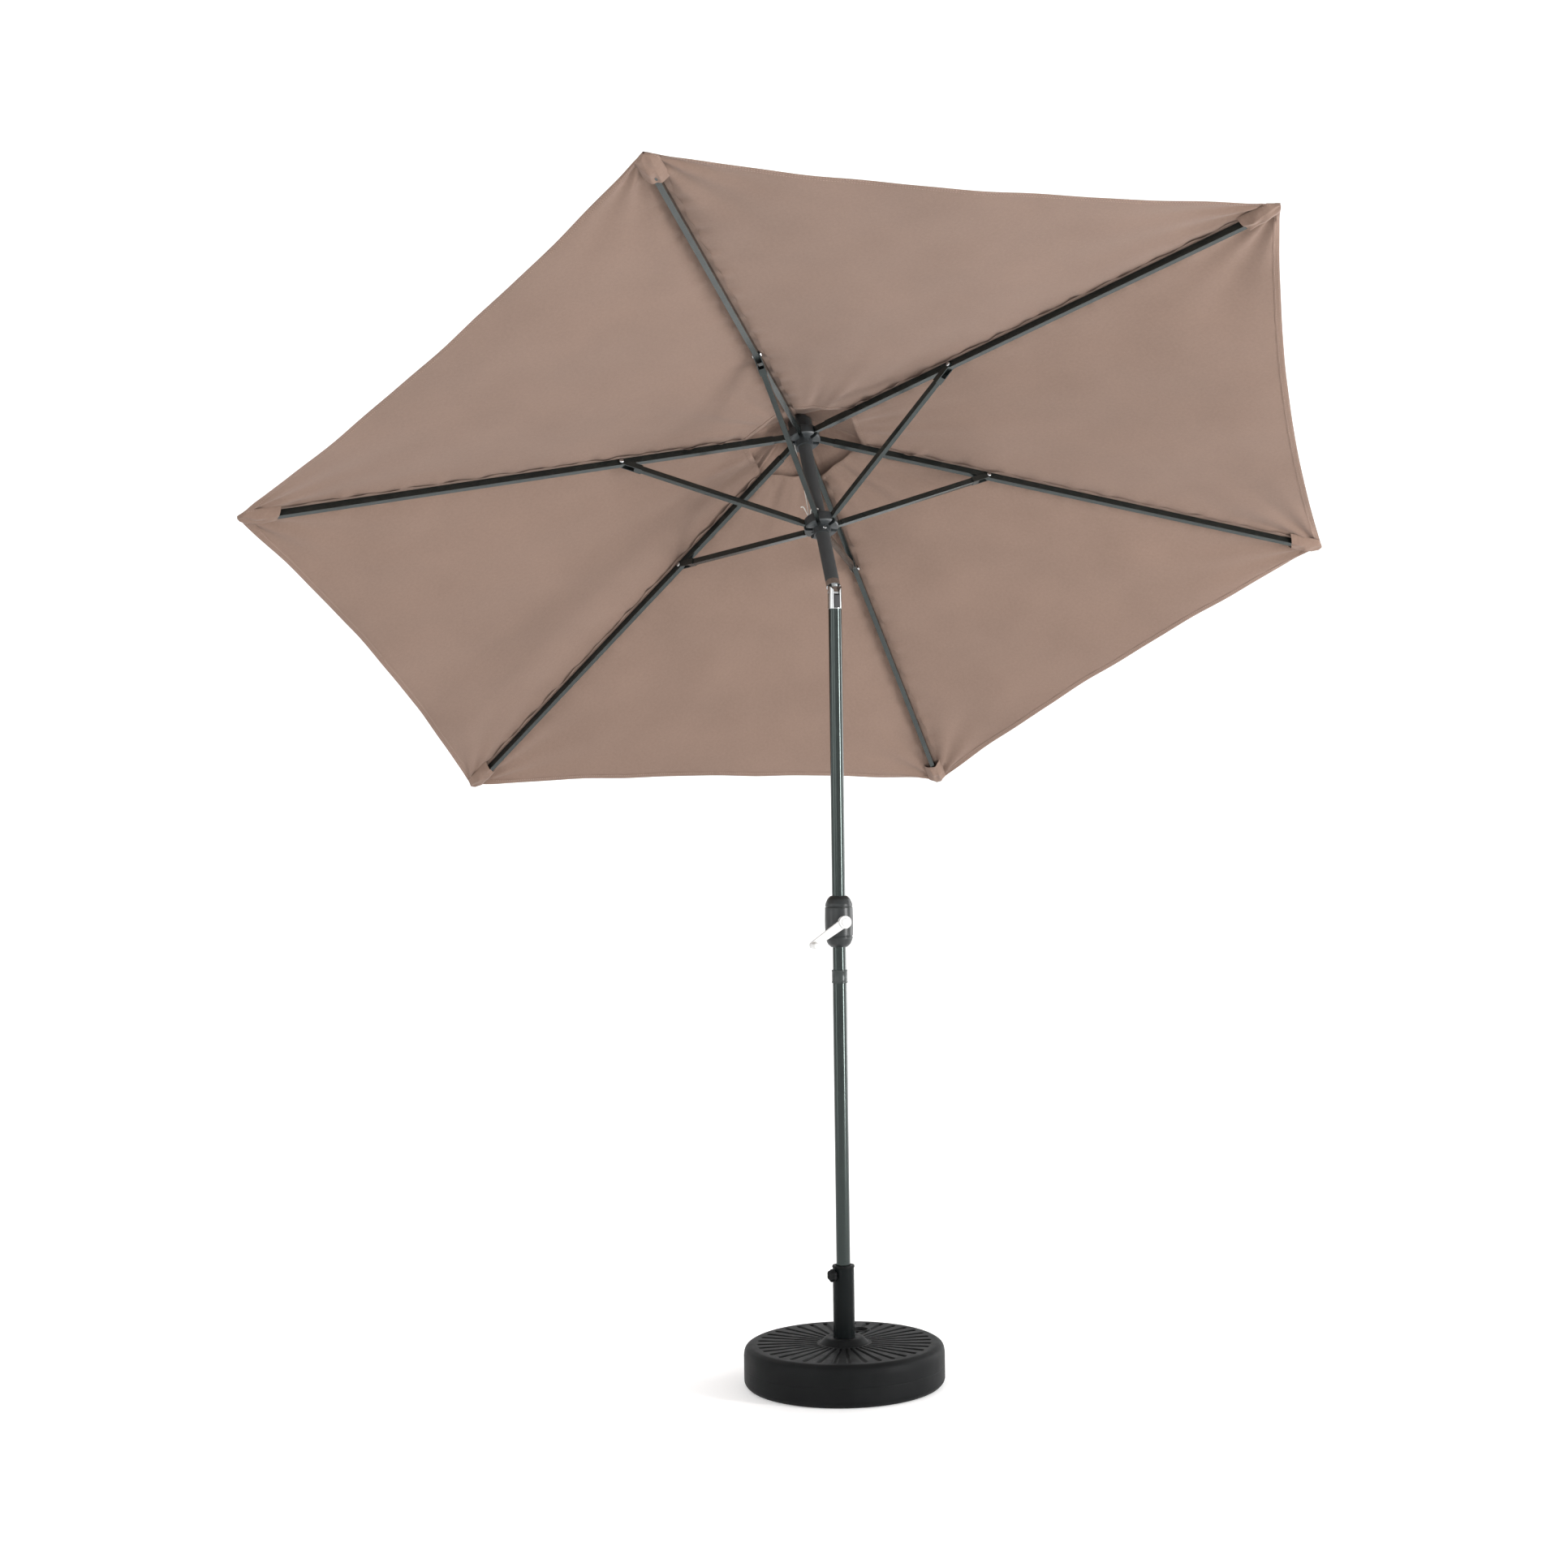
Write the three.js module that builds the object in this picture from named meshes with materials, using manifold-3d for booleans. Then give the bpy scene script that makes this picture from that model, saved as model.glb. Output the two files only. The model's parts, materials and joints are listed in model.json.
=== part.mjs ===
// Patio umbrella with a filled base, built from the floor up.
// Millimetres, +Z up, origin at the centre of the base's underside.
// The canopy leans towards +Y and the crank handle faces -Y.
import * as THREE from 'three';
import { mergeVertices } from 'three/addons/utils/BufferGeometryUtils.js';
import Module from 'manifold-3d';

const wasm = await Module();
wasm.setup();

// ---------- overall sizes ----------
const RIB_COUNT = 6;
const RIB_LENGTH = 1360;
const CANOPY_DROOP = 12.6;
const TILT_ANGLE = 30;
const TILT_HEIGHT = 1868;
const CROWN_RISE = 466;
const RUNNER_RISE = 200;
const BASE_DIAMETER = 474;
const BASE_HEIGHT = 98;

// ---------- clearances ----------
const GAP = 0.3;
const PIN_GAP = 0.5;
const LINK_GAP = 2.4;

// ---------- base ----------
const TANK_WALL = 3.5;
const TANK_TOP_WALL = 7;
const TANK_EDGE = 20;
const TANK_SEGMENTS = 36;
const BOSS_HEIGHT = 112;
const BOSS_RADIUS = 44;
const WELL_FLOOR = 7;
const BALLAST_HEIGHT = 56;
const GROOVE_COUNT = 36;
const GROOVE_DEPTH = 3;
const GROOVE_WIDTH = 6;
const GROOVE_START = 66;
const GROOVE_END = 204;
const FILL_RADIUS = 16;
const FILL_DISTANCE = 135;
const FILL_AZIMUTH = 55;
const TUBE_DIAMETER = 51;
const TUBE_WALL = 1.5;
const TUBE_TOP = 275;
const ADAPTOR_LENGTH = 60;
const ADAPTOR_RIM = 5;
const KNOB_AZIMUTH = 200;
const KNOB_HEIGHT = 259;
const KNOB_RADIUS = 15;
const KNOB_THICKNESS = 12;
const KNOB_STEM = 4;

// ---------- masts ----------
const LOWER_MAST_DIAMETER = 33.4;
const MIDDLE_MAST_DIAMETER = 31.6;
const UPPER_MAST_DIAMETER = 33;
const MAST_WALL = 1.5;
const MAST_SEGMENTS = 20;
const SPLICE_HEIGHT = 960;
const SPLICE_LENGTH = 80;
const COLLAR_HEIGHT = 31;
const COLLAR_WALL = 1.1;
const COLLAR_BEAD = 0.8;

// ---------- crank ----------
const CRANK_HEIGHT = 1090;
const HOUSING_HEIGHT = 121;
const HOUSING_RADIUS = 33.5;
const HOUSING_NECK = 19.5;
const SHAFT_RADIUS = 6;
const COIL_RADIUS = 10.5;
const COIL_HALF = 7.7;
const FLANGE_RADIUS = 12;
const FLANGE_THICKNESS = 1.5;
const ARM_LENGTH = 95;
const ARM_ANGLE = 213;
const ARM_BOSS = 15;
const ARM_END = 8;
const ARM_THICKNESS = 8;
const HANDLE_LENGTH = 24;

// ---------- tilt joint ----------
const KNUCKLE_RADIUS = 16.8;
const KNUCKLE_BELOW = 38;
const KNUCKLE_ABOVE = 33;
const CHEEK_RADIUS = 16.3;
const TONGUE_RADIUS = 8.5;
const TONGUE_HALF = 7;
const KNUCKLE_FLOOR = 18;
const PLUG_LENGTH = 50;
const PLUG_WALL = 1.5;
const TILT_PIN_RADIUS = 4;
const TILT_PIN_HALF = 15.6;
const BUTTON_FACE = 18.2;
const BUTTON_BACK = 12.4;
const BUTTON_TOP = 5;
const SPRING_RADIUS = 3;
const CORD_LANE = 10.2;

// ---------- hubs ----------
const HUB_BORE_RISE = 16;
const HUB_CORE = 22;
const HUB_RADIUS = 42;
const HUB_HALF = 14;
const HUB_SKIRT = 30;
const PIVOT_RADIUS = 32.4;
const RING_RADIUS = 1.5;
const SLOT_WIDTH = 10;
const EYE_WIDTH = 9;
const CROWN_HEAD_RADIUS = 30;
const CROWN_HEAD_TOP = 58;
const PULLEY_RISE = 34;
const PULLEY_RADIUS = 12;
const PULLEY_WIDTH = 5;
const PULLEY_AXLE = 2;
const AXLE_HALF = 12;
const PULLEY_STEPS = 10;
const CORD_AZIMUTH = 150;
const CORD_RADIUS = 1.25;
const SCREW_RADIUS = 4.5;
const SCREW_SHANK = 2;
const SCREW_RISE = -22;

// ---------- ribs and struts ----------
const RIB_WIDTH = 12;
const RIB_HEIGHT = 18;
const RIB_WALL = 0.8;
const RIB_EYE = 8;
const RIB_EYE_LENGTH = 60;
const ATTACH_DISTANCE = 450;
const RIVET_RADIUS = 2.2;
const RIVET_HEAD = 6;
const RIVET_HEAD_THICKNESS = 2;
const STRUT_WIDTH = 12;
const STRUT_HEIGHT = 14;
const STRUT_WALL = 0.8;
const STRUT_EYE = 7;
const STRUT_BAR_START = 22;
const STRUT_STEM_END = 28;
const STRUT_HOLLOW_START = 36;
const CLEVIS_LENGTH = 52;
const CLEVIS_DEPTH = 34;
const CLEVIS_CHEEK = 2;
const CLEVIS_END = 7.5;

// ---------- canopy ----------
const FABRIC = 0.6;
const FABRIC_GAP = 0.5;
const RIDGE_GAP = 1.2;
const VENT_RADIUS = 152;
const EDGE_SAG = 34;
const TIP_OVERLAP = 5;
const GORE_COLUMNS = 5;
const CAP_RADIUS = 214;
const CAP_CLEARANCE = 8;
const CAP_TOP = 70;
const CAP_HOLE = 6;
const FINIAL_RADIUS = 13;

// ---------- finishes ----------
const FINISHES = {
  moulded_black: { color: 0x1f2122, roughness: 0.62, metalness: 0.0 },
  satin_charcoal: { color: 0x3b4243, roughness: 0.38, metalness: 0.6 },
  tube_black: { color: 0x1b1c1d, roughness: 0.42, metalness: 0.4 },
  charcoal_plastic: { color: 0x33373a, roughness: 0.5, metalness: 0.0 },
  bright_metal: { color: 0xc9cccd, roughness: 0.22, metalness: 1.0 },
  white_plastic: { color: 0xe8e8e6, roughness: 0.35, metalness: 0.0 },
  white_cord: { color: 0xe9e6df, roughness: 0.85, metalness: 0.0 },
  taupe_fabric: { color: 0x9a8576, roughness: 0.92, metalness: 0.0 },
  sand: { color: 0xb59d78, roughness: 0.95, metalness: 0.0 },
};

const rad = THREE.MathUtils.degToRad;

// ---------- shape helpers ----------
function outward(geometry) {
  const loose = geometry.index ? geometry.toNonIndexed() : geometry;
  const p = loose.getAttribute('position').array.slice();
  let volume = 0;
  for (let i = 0; i < p.length; i += 9) {
    const cx = p[i + 4] * p[i + 8] - p[i + 5] * p[i + 7];
    const cy = p[i + 5] * p[i + 6] - p[i + 3] * p[i + 8];
    const cz = p[i + 3] * p[i + 7] - p[i + 4] * p[i + 6];
    volume += p[i] * cx + p[i + 1] * cy + p[i + 2] * cz;
  }
  if (volume < 0) {
    for (let i = 0; i < p.length; i += 9) {
      for (let k = 0; k < 3; k += 1) {
        [p[i + 3 + k], p[i + 6 + k]] = [p[i + 6 + k], p[i + 3 + k]];
      }
    }
  }
  const fixed = new THREE.BufferGeometry();
  fixed.setAttribute('position', new THREE.BufferAttribute(p, 3));
  fixed.computeVertexNormals();
  return fixed;
}

function solid(geometry) {
  const source = geometry.index ? geometry.clone() : outward(geometry);
  source.deleteAttribute('normal');
  source.deleteAttribute('uv');
  const merged = mergeVertices(source, 1e-4);
  const mesh = new wasm.Mesh({
    numProp: 3,
    vertProperties: new Float32Array(merged.getAttribute('position').array),
    triVerts: new Uint32Array(merged.index.array),
  });
  mesh.merge();
  return new wasm.Manifold(mesh);
}

function surface(manifold) {
  const mesh = manifold.getMesh();
  const geometry = new THREE.BufferGeometry();
  geometry.setAttribute('position', new THREE.BufferAttribute(mesh.vertProperties.slice(), 3));
  geometry.setIndex(new THREE.BufferAttribute(mesh.triVerts.slice(), 1));
  return outward(geometry);
}

function join(...geometries) {
  return surface(geometries.map(solid).reduce((a, b) => a.add(b)));
}

function cut(geometry, ...tools) {
  return surface(tools.map(solid).reduce((a, b) => a.subtract(b), solid(geometry)));
}

function overlap(a, b) {
  return surface(solid(a).intersect(solid(b)));
}

function box(x0, x1, y0, y1, z0, z1) {
  const geometry = new THREE.BoxGeometry(x1 - x0, y1 - y0, z1 - z0);
  geometry.translate((x0 + x1) / 2, (y0 + y1) / 2, (z0 + z1) / 2);
  return outward(geometry);
}

// A closed outline of [radius, height] pairs carried round the Z axis.
function revolve(outline, segments, start = 0) {
  const points = outline.map(([r, z]) => new THREE.Vector2(r, z));
  const [first] = points;
  if (first.x > 0 || points[points.length - 1].x > 0) {
    points.push(first.clone());
  }
  const geometry = new THREE.LatheGeometry(points, segments, rad(start));
  geometry.rotateX(Math.PI / 2);
  geometry.deleteAttribute('normal');
  geometry.deleteAttribute('uv');
  return surface(solid(outward(geometry)));
}

function cylinder(radius, z0, z1, segments) {
  return revolve([[0, z0], [radius, z0], [radius, z1], [0, z1]], segments);
}

function ring(inner, outer, z0, z1, segments) {
  return revolve([[inner, z0], [outer, z0], [outer, z1], [inner, z1]], segments);
}

function alongX(geometry) {
  return geometry.rotateY(Math.PI / 2);
}

function alongY(geometry) {
  return geometry.rotateX(-Math.PI / 2);
}

// A line that runs straight from each stated point to the next.
class Route extends THREE.Curve {
  constructor(stations) {
    super();
    this.stations = stations.map((p) => new THREE.Vector3(...p));
  }

  getPoint(t) {
    const span = (this.stations.length - 1) * t;
    const from = Math.min(Math.max(Math.floor(span), 0), this.stations.length - 2);
    return this.stations[from].clone().lerp(this.stations[from + 1], span - from);
  }

  getPointAt(t) {
    return this.getPoint(t);
  }

  getTangentAt(t) {
    const near = 0.25 / (this.stations.length - 1);
    const before = this.getPoint(Math.max(t - near, 0)).sub(this.getPoint(t)).negate().normalize();
    const after = this.getPoint(Math.min(t + near, 1)).sub(this.getPoint(t)).normalize();
    return before.add(after).normalize();
  }
}

// A round cord swept along a route.
function cordThrough(points) {
  const round = new THREE.Shape();
  round.absarc(0, 0, CORD_RADIUS, 0, Math.PI * 2);
  const options = {
    steps: points.length - 1,
    curveSegments: 4,
    bevelEnabled: false,
    extrudePath: new Route(points),
  };
  return outward(new THREE.ExtrudeGeometry(round, options));
}

// ---------- places ----------
const upperPlace = new THREE.Matrix4()
  .makeTranslation(0, 0, TILT_HEIGHT)
  .multiply(new THREE.Matrix4().makeRotationX(-rad(TILT_ANGLE)));
const pivotPlace = new THREE.Matrix4().makeTranslation(0, 0, TILT_HEIGHT);
const crankPlace = new THREE.Matrix4().makeTranslation(0, 0, CRANK_HEIGHT);

function hubPlace(rise) {
  return upperPlace.clone().multiply(new THREE.Matrix4().makeTranslation(0, 0, rise));
}

function armPlace(rise, azimuth, droop) {
  return hubPlace(rise)
    .multiply(new THREE.Matrix4().makeRotationZ(rad(azimuth)))
    .multiply(new THREE.Matrix4().makeTranslation(PIVOT_RADIUS, 0, 0))
    .multiply(new THREE.Matrix4().makeRotationY(rad(droop)));
}

const part = new THREE.Group();
part.name = 'patio_umbrella';

function add(name, geometry, finish, place) {
  if (place) {
    geometry.applyMatrix4(place);
  }
  const material = new THREE.MeshStandardMaterial(FINISHES[finish]);
  material.name = finish;
  const mesh = new THREE.Mesh(outward(geometry), material);
  mesh.name = name;
  part.add(mesh);
}

// ---------- base tank, filling and plug ----------
const baseRadius = BASE_DIAMETER / 2;
const tubeRadius = TUBE_DIAMETER / 2;
const wellRadius = tubeRadius + GAP;
const tankOutline = [
  [0, 0],
  [baseRadius - TANK_EDGE / 2, 0],
  [baseRadius - 2, TANK_EDGE / 2],
  [baseRadius, TANK_EDGE],
  [baseRadius, BASE_HEIGHT - TANK_EDGE],
  [baseRadius - 2.5, BASE_HEIGHT - TANK_EDGE / 2],
  [baseRadius - 8, BASE_HEIGHT - 3.5],
  [baseRadius - TANK_EDGE, BASE_HEIGHT],
  [BOSS_RADIUS + 14, BASE_HEIGHT],
  [BOSS_RADIUS, BOSS_HEIGHT],
  [wellRadius, BOSS_HEIGHT],
  [wellRadius, WELL_FLOOR],
  [0, WELL_FLOOR],
];
const cavityInner = wellRadius + TANK_WALL;
const cavityOuter = baseRadius - TANK_WALL;
const cavityTop = BASE_HEIGHT - TANK_TOP_WALL;
const cavityOutline = [
  [cavityInner, TANK_WALL],
  [cavityOuter - TANK_EDGE / 2, TANK_WALL],
  [cavityOuter, TANK_EDGE],
  [cavityOuter, cavityTop - TANK_EDGE],
  [cavityOuter - TANK_EDGE, cavityTop],
  [cavityInner, cavityTop],
];
const fillX = FILL_DISTANCE * Math.cos(rad(FILL_AZIMUTH));
const fillY = FILL_DISTANCE * Math.sin(rad(FILL_AZIMUTH));
const grooves = [];
for (let i = 0; i < GROOVE_COUNT; i += 1) {
  const azimuth = 5 + (360 / GROOVE_COUNT) * i;
  if (Math.abs(azimuth - FILL_AZIMUTH) > 1) {
    const groove = box(
      GROOVE_START,
      GROOVE_END,
      -GROOVE_WIDTH / 2,
      GROOVE_WIDTH / 2,
      BASE_HEIGHT - GROOVE_DEPTH,
      BASE_HEIGHT + GROOVE_DEPTH,
    );
    grooves.push(groove.rotateZ(rad(azimuth)));
  }
}
const fillHole = cylinder(FILL_RADIUS, cavityTop - 2, BASE_HEIGHT + 2, 20).translate(fillX, fillY, 0);
const cavity = revolve(cavityOutline, TANK_SEGMENTS);
add('base_tank', cut(revolve(tankOutline, TANK_SEGMENTS), cavity, fillHole, ...grooves), 'moulded_black');

const ballastOutline = [
  [cavityInner + GAP, TANK_WALL + GAP],
  [cavityOuter - TANK_EDGE / 2 - GAP, TANK_WALL + GAP],
  [cavityOuter - 3 * GAP, TANK_EDGE + GAP],
  [cavityOuter - 3 * GAP, BALLAST_HEIGHT],
  [cavityInner + GAP, BALLAST_HEIGHT],
];
add('ballast_fill', revolve(ballastOutline, TANK_SEGMENTS), 'sand');

const plugTop = BASE_HEIGHT - 2;
const plugOutline = [
  [0, plugTop - 4],
  [FILL_RADIUS - 4, plugTop - 4],
  [FILL_RADIUS - 4, plugTop],
  [FILL_RADIUS - 2 * GAP, plugTop],
  [FILL_RADIUS - 2 * GAP, cavityTop - 6],
  [0, cavityTop - 6],
];
add('fill_plug', revolve(plugOutline, 20).translate(fillX, fillY, 0), 'moulded_black');

// ---------- stand tube, its adaptor and the clamping knob ----------
const tubeBore = tubeRadius - TUBE_WALL;
const tubeFoot = WELL_FLOOR + GAP;
const stemHole = alongX(cylinder(KNOB_STEM + PIN_GAP, 0, 60, 12)).translate(0, 0, KNOB_HEIGHT);
stemHole.rotateZ(rad(KNOB_AZIMUTH));
const standTube = ring(tubeBore, tubeRadius, tubeFoot, TUBE_TOP, 28);
add('stand_tube', cut(standTube, stemHole), 'tube_black');

const mastSeat = LOWER_MAST_DIAMETER / 2 + GAP;
const adaptorOutline = [
  [mastSeat, TUBE_TOP - ADAPTOR_LENGTH],
  [tubeBore - GAP, TUBE_TOP - ADAPTOR_LENGTH],
  [tubeBore - GAP, TUBE_TOP + GAP],
  [tubeRadius + 1, TUBE_TOP + GAP],
  [tubeRadius, TUBE_TOP + ADAPTOR_RIM],
  [mastSeat, TUBE_TOP + ADAPTOR_RIM],
];
add('tube_adaptor', cut(revolve(adaptorOutline, 24), stemHole), 'moulded_black');

const stemStart = LOWER_MAST_DIAMETER / 2 + GAP;
const knobStart = tubeRadius + 2.5;
const knobOutline = [
  [0, stemStart],
  [KNOB_STEM, stemStart],
  [KNOB_STEM, tubeRadius + GAP],
  [KNOB_STEM + 4, tubeRadius + GAP],
  [KNOB_STEM + 4, knobStart],
  [KNOB_RADIUS - 1.5, knobStart],
  [KNOB_RADIUS, knobStart + 3],
  [KNOB_RADIUS, knobStart + KNOB_THICKNESS - 3],
  [KNOB_RADIUS - 4, knobStart + KNOB_THICKNESS],
  [0, knobStart + KNOB_THICKNESS],
];
const knob = alongX(revolve(knobOutline, 18)).translate(0, 0, KNOB_HEIGHT);
add('stand_knob', knob.rotateZ(rad(KNOB_AZIMUTH)), 'moulded_black');

// ---------- lower and middle masts ----------
const lowerRadius = LOWER_MAST_DIAMETER / 2;
const lowerBore = lowerRadius - MAST_WALL;
const mastFoot = tubeFoot + 4;
add('lower_mast', ring(lowerBore, lowerRadius, mastFoot, SPLICE_HEIGHT, MAST_SEGMENTS), 'satin_charcoal');

const footOutline = [
  [0, tubeFoot + GAP],
  [lowerRadius, tubeFoot + GAP],
  [lowerRadius, mastFoot - GAP],
  [lowerBore - GAP, mastFoot - GAP],
  [lowerBore - GAP, mastFoot + 14],
  [0, mastFoot + 14],
];
add('mast_foot_cap', revolve(footOutline, MAST_SEGMENTS), 'moulded_black');

const middleRadius = MIDDLE_MAST_DIAMETER / 2;
const middleBore = middleRadius - MAST_WALL;
const spigot = lowerBore - GAP;
const middleTop = TILT_HEIGHT - KNUCKLE_BELOW - GAP;
const middleOutline = [
  [spigot - MAST_WALL, SPLICE_HEIGHT - SPLICE_LENGTH],
  [spigot, SPLICE_HEIGHT - SPLICE_LENGTH],
  [spigot, SPLICE_HEIGHT + GAP],
  [middleRadius, SPLICE_HEIGHT + GAP + 2],
  [middleRadius, middleTop],
  [middleBore, middleTop],
  [middleBore, SPLICE_HEIGHT + 6],
  [spigot - MAST_WALL, SPLICE_HEIGHT + 3],
];
const spoolHole = alongY(cylinder(FLANGE_RADIUS + PIN_GAP, -40, 40, 20)).translate(0, 0, CRANK_HEIGHT);
add('middle_mast', cut(revolve(middleOutline, MAST_SEGMENTS), spoolHole), 'satin_charcoal');

const collarBore = lowerRadius + GAP;
const collarOuter = collarBore + COLLAR_WALL;
const collarLow = SPLICE_HEIGHT - COLLAR_HEIGHT / 2;
const collarHigh = SPLICE_HEIGHT + COLLAR_HEIGHT / 2;
const collarOutline = [
  [collarBore, collarLow],
  [collarOuter, collarLow],
  [collarOuter + COLLAR_BEAD, collarLow + 2],
  [collarOuter, collarLow + 5],
  [collarOuter, collarHigh - 5],
  [collarOuter + COLLAR_BEAD, collarHigh - 2],
  [collarOuter, collarHigh],
  [collarBore, collarHigh],
];
add('mast_collar', revolve(collarOutline, 24), 'satin_charcoal');

// ---------- crank housing, spindle and handle ----------
const housingHalf = HOUSING_HEIGHT / 2;
const housingBore = middleRadius + GAP;
const housingOutline = [
  [housingBore, -housingHalf],
  [HOUSING_NECK, -housingHalf],
  [HOUSING_NECK + 8, -housingHalf + 9],
  [HOUSING_RADIUS - 1.5, -housingHalf + 24],
  [HOUSING_RADIUS - 2.5, -housingHalf + 25.5],
  [HOUSING_RADIUS - 1, -housingHalf + 27],
  [HOUSING_RADIUS, 0],
  [HOUSING_RADIUS - 1, housingHalf - 27],
  [HOUSING_RADIUS - 2.5, housingHalf - 25.5],
  [HOUSING_RADIUS - 1.5, housingHalf - 24],
  [HOUSING_NECK + 8, housingHalf - 9],
  [HOUSING_NECK, housingHalf],
  [housingBore, housingHalf],
];
const housing = revolve(housingOutline, 24);
const bearing = alongY(cylinder(SHAFT_RADIUS + PIN_GAP, -50, 26, 14));
const splitGap = GAP / 2;
const housingFront = overlap(housing, box(-50, 50, -50, -splitGap, -80, 80));
const housingBack = overlap(housing, box(-50, 50, splitGap, 50, -80, 80));
add('crank_housing_front', cut(housingFront, bearing), 'charcoal_plastic', crankPlace);
add('crank_housing_back', cut(housingBack, bearing), 'charcoal_plastic', crankPlace);

const shaftFront = HOUSING_RADIUS + 12;
const flangeStart = COIL_HALF + GAP;
const flangeEnd = flangeStart + FLANGE_THICKNESS;
const spindleOutline = [
  [0, -24],
  [SHAFT_RADIUS, -24],
  [SHAFT_RADIUS, -flangeEnd],
  [FLANGE_RADIUS, -flangeEnd],
  [FLANGE_RADIUS, -flangeStart],
  [SHAFT_RADIUS, -flangeStart],
  [SHAFT_RADIUS, flangeStart],
  [FLANGE_RADIUS, flangeStart],
  [FLANGE_RADIUS, flangeEnd],
  [SHAFT_RADIUS, flangeEnd],
  [SHAFT_RADIUS, shaftFront],
  [0, shaftFront],
];
const facing = new THREE.Matrix4().makeRotationX(Math.PI / 2);
const crankFacing = crankPlace.clone().multiply(facing);
add('crank_spindle', revolve(spindleOutline, 16), 'bright_metal', crankFacing);
add('lift_cord_coil', ring(SHAFT_RADIUS + GAP, COIL_RADIUS, -COIL_HALF, COIL_HALF, 16), 'white_cord', crankFacing);

const armStart = HOUSING_RADIUS + 3;
const bossEnd = armStart + 13;
const arm = new THREE.Shape();
const lean = Math.acos((ARM_BOSS - 4 - ARM_END) / ARM_LENGTH);
arm.absarc(0, 0, ARM_BOSS - 4, lean, Math.PI * 2 - lean, false);
arm.absarc(ARM_LENGTH, 0, ARM_END, -lean, lean, false);
const armBar = new THREE.ExtrudeGeometry(arm, { depth: ARM_THICKNESS, curveSegments: 8, bevelEnabled: false });
armBar.translate(0, 0, armStart + 3);
const armBody = join(outward(armBar), cylinder(ARM_BOSS, armStart, bossEnd, 20));
const armBore = cylinder(SHAFT_RADIUS + GAP, armStart - 5, shaftFront + GAP, 16);
const knobPinHole = cylinder(2 + PIN_GAP, armStart - 5, armStart + ARM_THICKNESS, 10).translate(ARM_LENGTH, 0, 0);
const armTurn = new THREE.Matrix4().makeRotationZ(rad(ARM_ANGLE));
const armSpot = crankFacing.clone().multiply(armTurn);
add('crank_arm', cut(armBody, armBore, knobPinHole.translate(0, 0, 8)), 'white_plastic', armSpot);

const handleStart = armStart + 3 + ARM_THICKNESS + GAP;
const handleOutline = [
  [0, handleStart - 4],
  [2, handleStart - 4],
  [2, handleStart],
  [6.5, handleStart],
  [8.5, handleStart + 5],
  [7, handleStart + HANDLE_LENGTH - 4],
  [4, handleStart + HANDLE_LENGTH],
  [0, handleStart + HANDLE_LENGTH],
];
const handle = revolve(handleOutline, 14).translate(ARM_LENGTH, 0, 0);
add('crank_knob', handle, 'white_plastic', armSpot);

// ---------- tilt joint ----------
const cordLane = cylinder(CORD_RADIUS + 1, -60, 60, 10).translate(0, CORD_LANE, 0);
const forkPlug = middleBore - GAP;
const forkOutline = [
  [0, -KNUCKLE_BELOW],
  [forkPlug - PLUG_WALL, -KNUCKLE_BELOW],
  [forkPlug - PLUG_WALL, -KNUCKLE_BELOW - PLUG_LENGTH],
  [forkPlug, -KNUCKLE_BELOW - PLUG_LENGTH],
  [forkPlug, -KNUCKLE_BELOW],
  [KNUCKLE_RADIUS, -KNUCKLE_BELOW],
  [KNUCKLE_RADIUS, 0],
  [0, 0],
];
const column = cylinder(KNUCKLE_RADIUS, -KNUCKLE_BELOW + 5, KNUCKLE_ABOVE, 24);
const cheeks = overlap(alongX(cylinder(CHEEK_RADIUS, -20, 20, 24)), column);
const forkSlotHalf = TONGUE_HALF + GAP;
const forkSlot = box(-forkSlotHalf, forkSlotHalf, -30, 30, -KNUCKLE_FLOOR, 40);
const pinBore = alongX(cylinder(TILT_PIN_RADIUS + GAP, -30, 30, 14));
const buttonPocket = box(-forkSlotHalf, forkSlotHalf, -30, -BUTTON_BACK + 3, -KNUCKLE_BELOW + 2, 0);
const fork = join(revolve(forkOutline, 24), cheeks);
add('tilt_fork', cut(fork, forkSlot, pinBore, buttonPocket, cordLane), 'bright_metal', pivotPlace);

add('tilt_pin', alongX(cylinder(TILT_PIN_RADIUS, -TILT_PIN_HALF, TILT_PIN_HALF, 14)), 'bright_metal', pivotPlace);

const buttonLow = -KNUCKLE_BELOW + 2 + GAP;
const button = box(-TONGUE_HALF, TONGUE_HALF, -BUTTON_FACE, -BUTTON_BACK, buttonLow, -BUTTON_TOP);
add('tilt_button', button, 'charcoal_plastic', pivotPlace);

const springSpot = new THREE.Matrix4().makeTranslation(0, 0, -KNUCKLE_BELOW + 9);
const springPlace = pivotPlace.clone().multiply(springSpot).multiply(facing);
const spring = ring(SPRING_RADIUS - 1, SPRING_RADIUS, BUTTON_BACK - 3 + GAP, BUTTON_BACK - GAP, 12);
add('button_spring', spring, 'bright_metal', springPlace);

const upperRadius = UPPER_MAST_DIAMETER / 2;
const upperBore = upperRadius - MAST_WALL;
const tonguePlug = upperBore - GAP;
const tongueOutline = [
  [0, KNUCKLE_FLOOR],
  [KNUCKLE_RADIUS, KNUCKLE_FLOOR],
  [KNUCKLE_RADIUS, KNUCKLE_ABOVE],
  [tonguePlug, KNUCKLE_ABOVE],
  [tonguePlug, KNUCKLE_ABOVE + PLUG_LENGTH],
  [tonguePlug - PLUG_WALL, KNUCKLE_ABOVE + PLUG_LENGTH],
  [tonguePlug - PLUG_WALL, KNUCKLE_ABOVE],
  [0, KNUCKLE_ABOVE],
];
const tongueDisc = alongX(cylinder(TONGUE_RADIUS, -TONGUE_HALF, TONGUE_HALF, 24));
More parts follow.
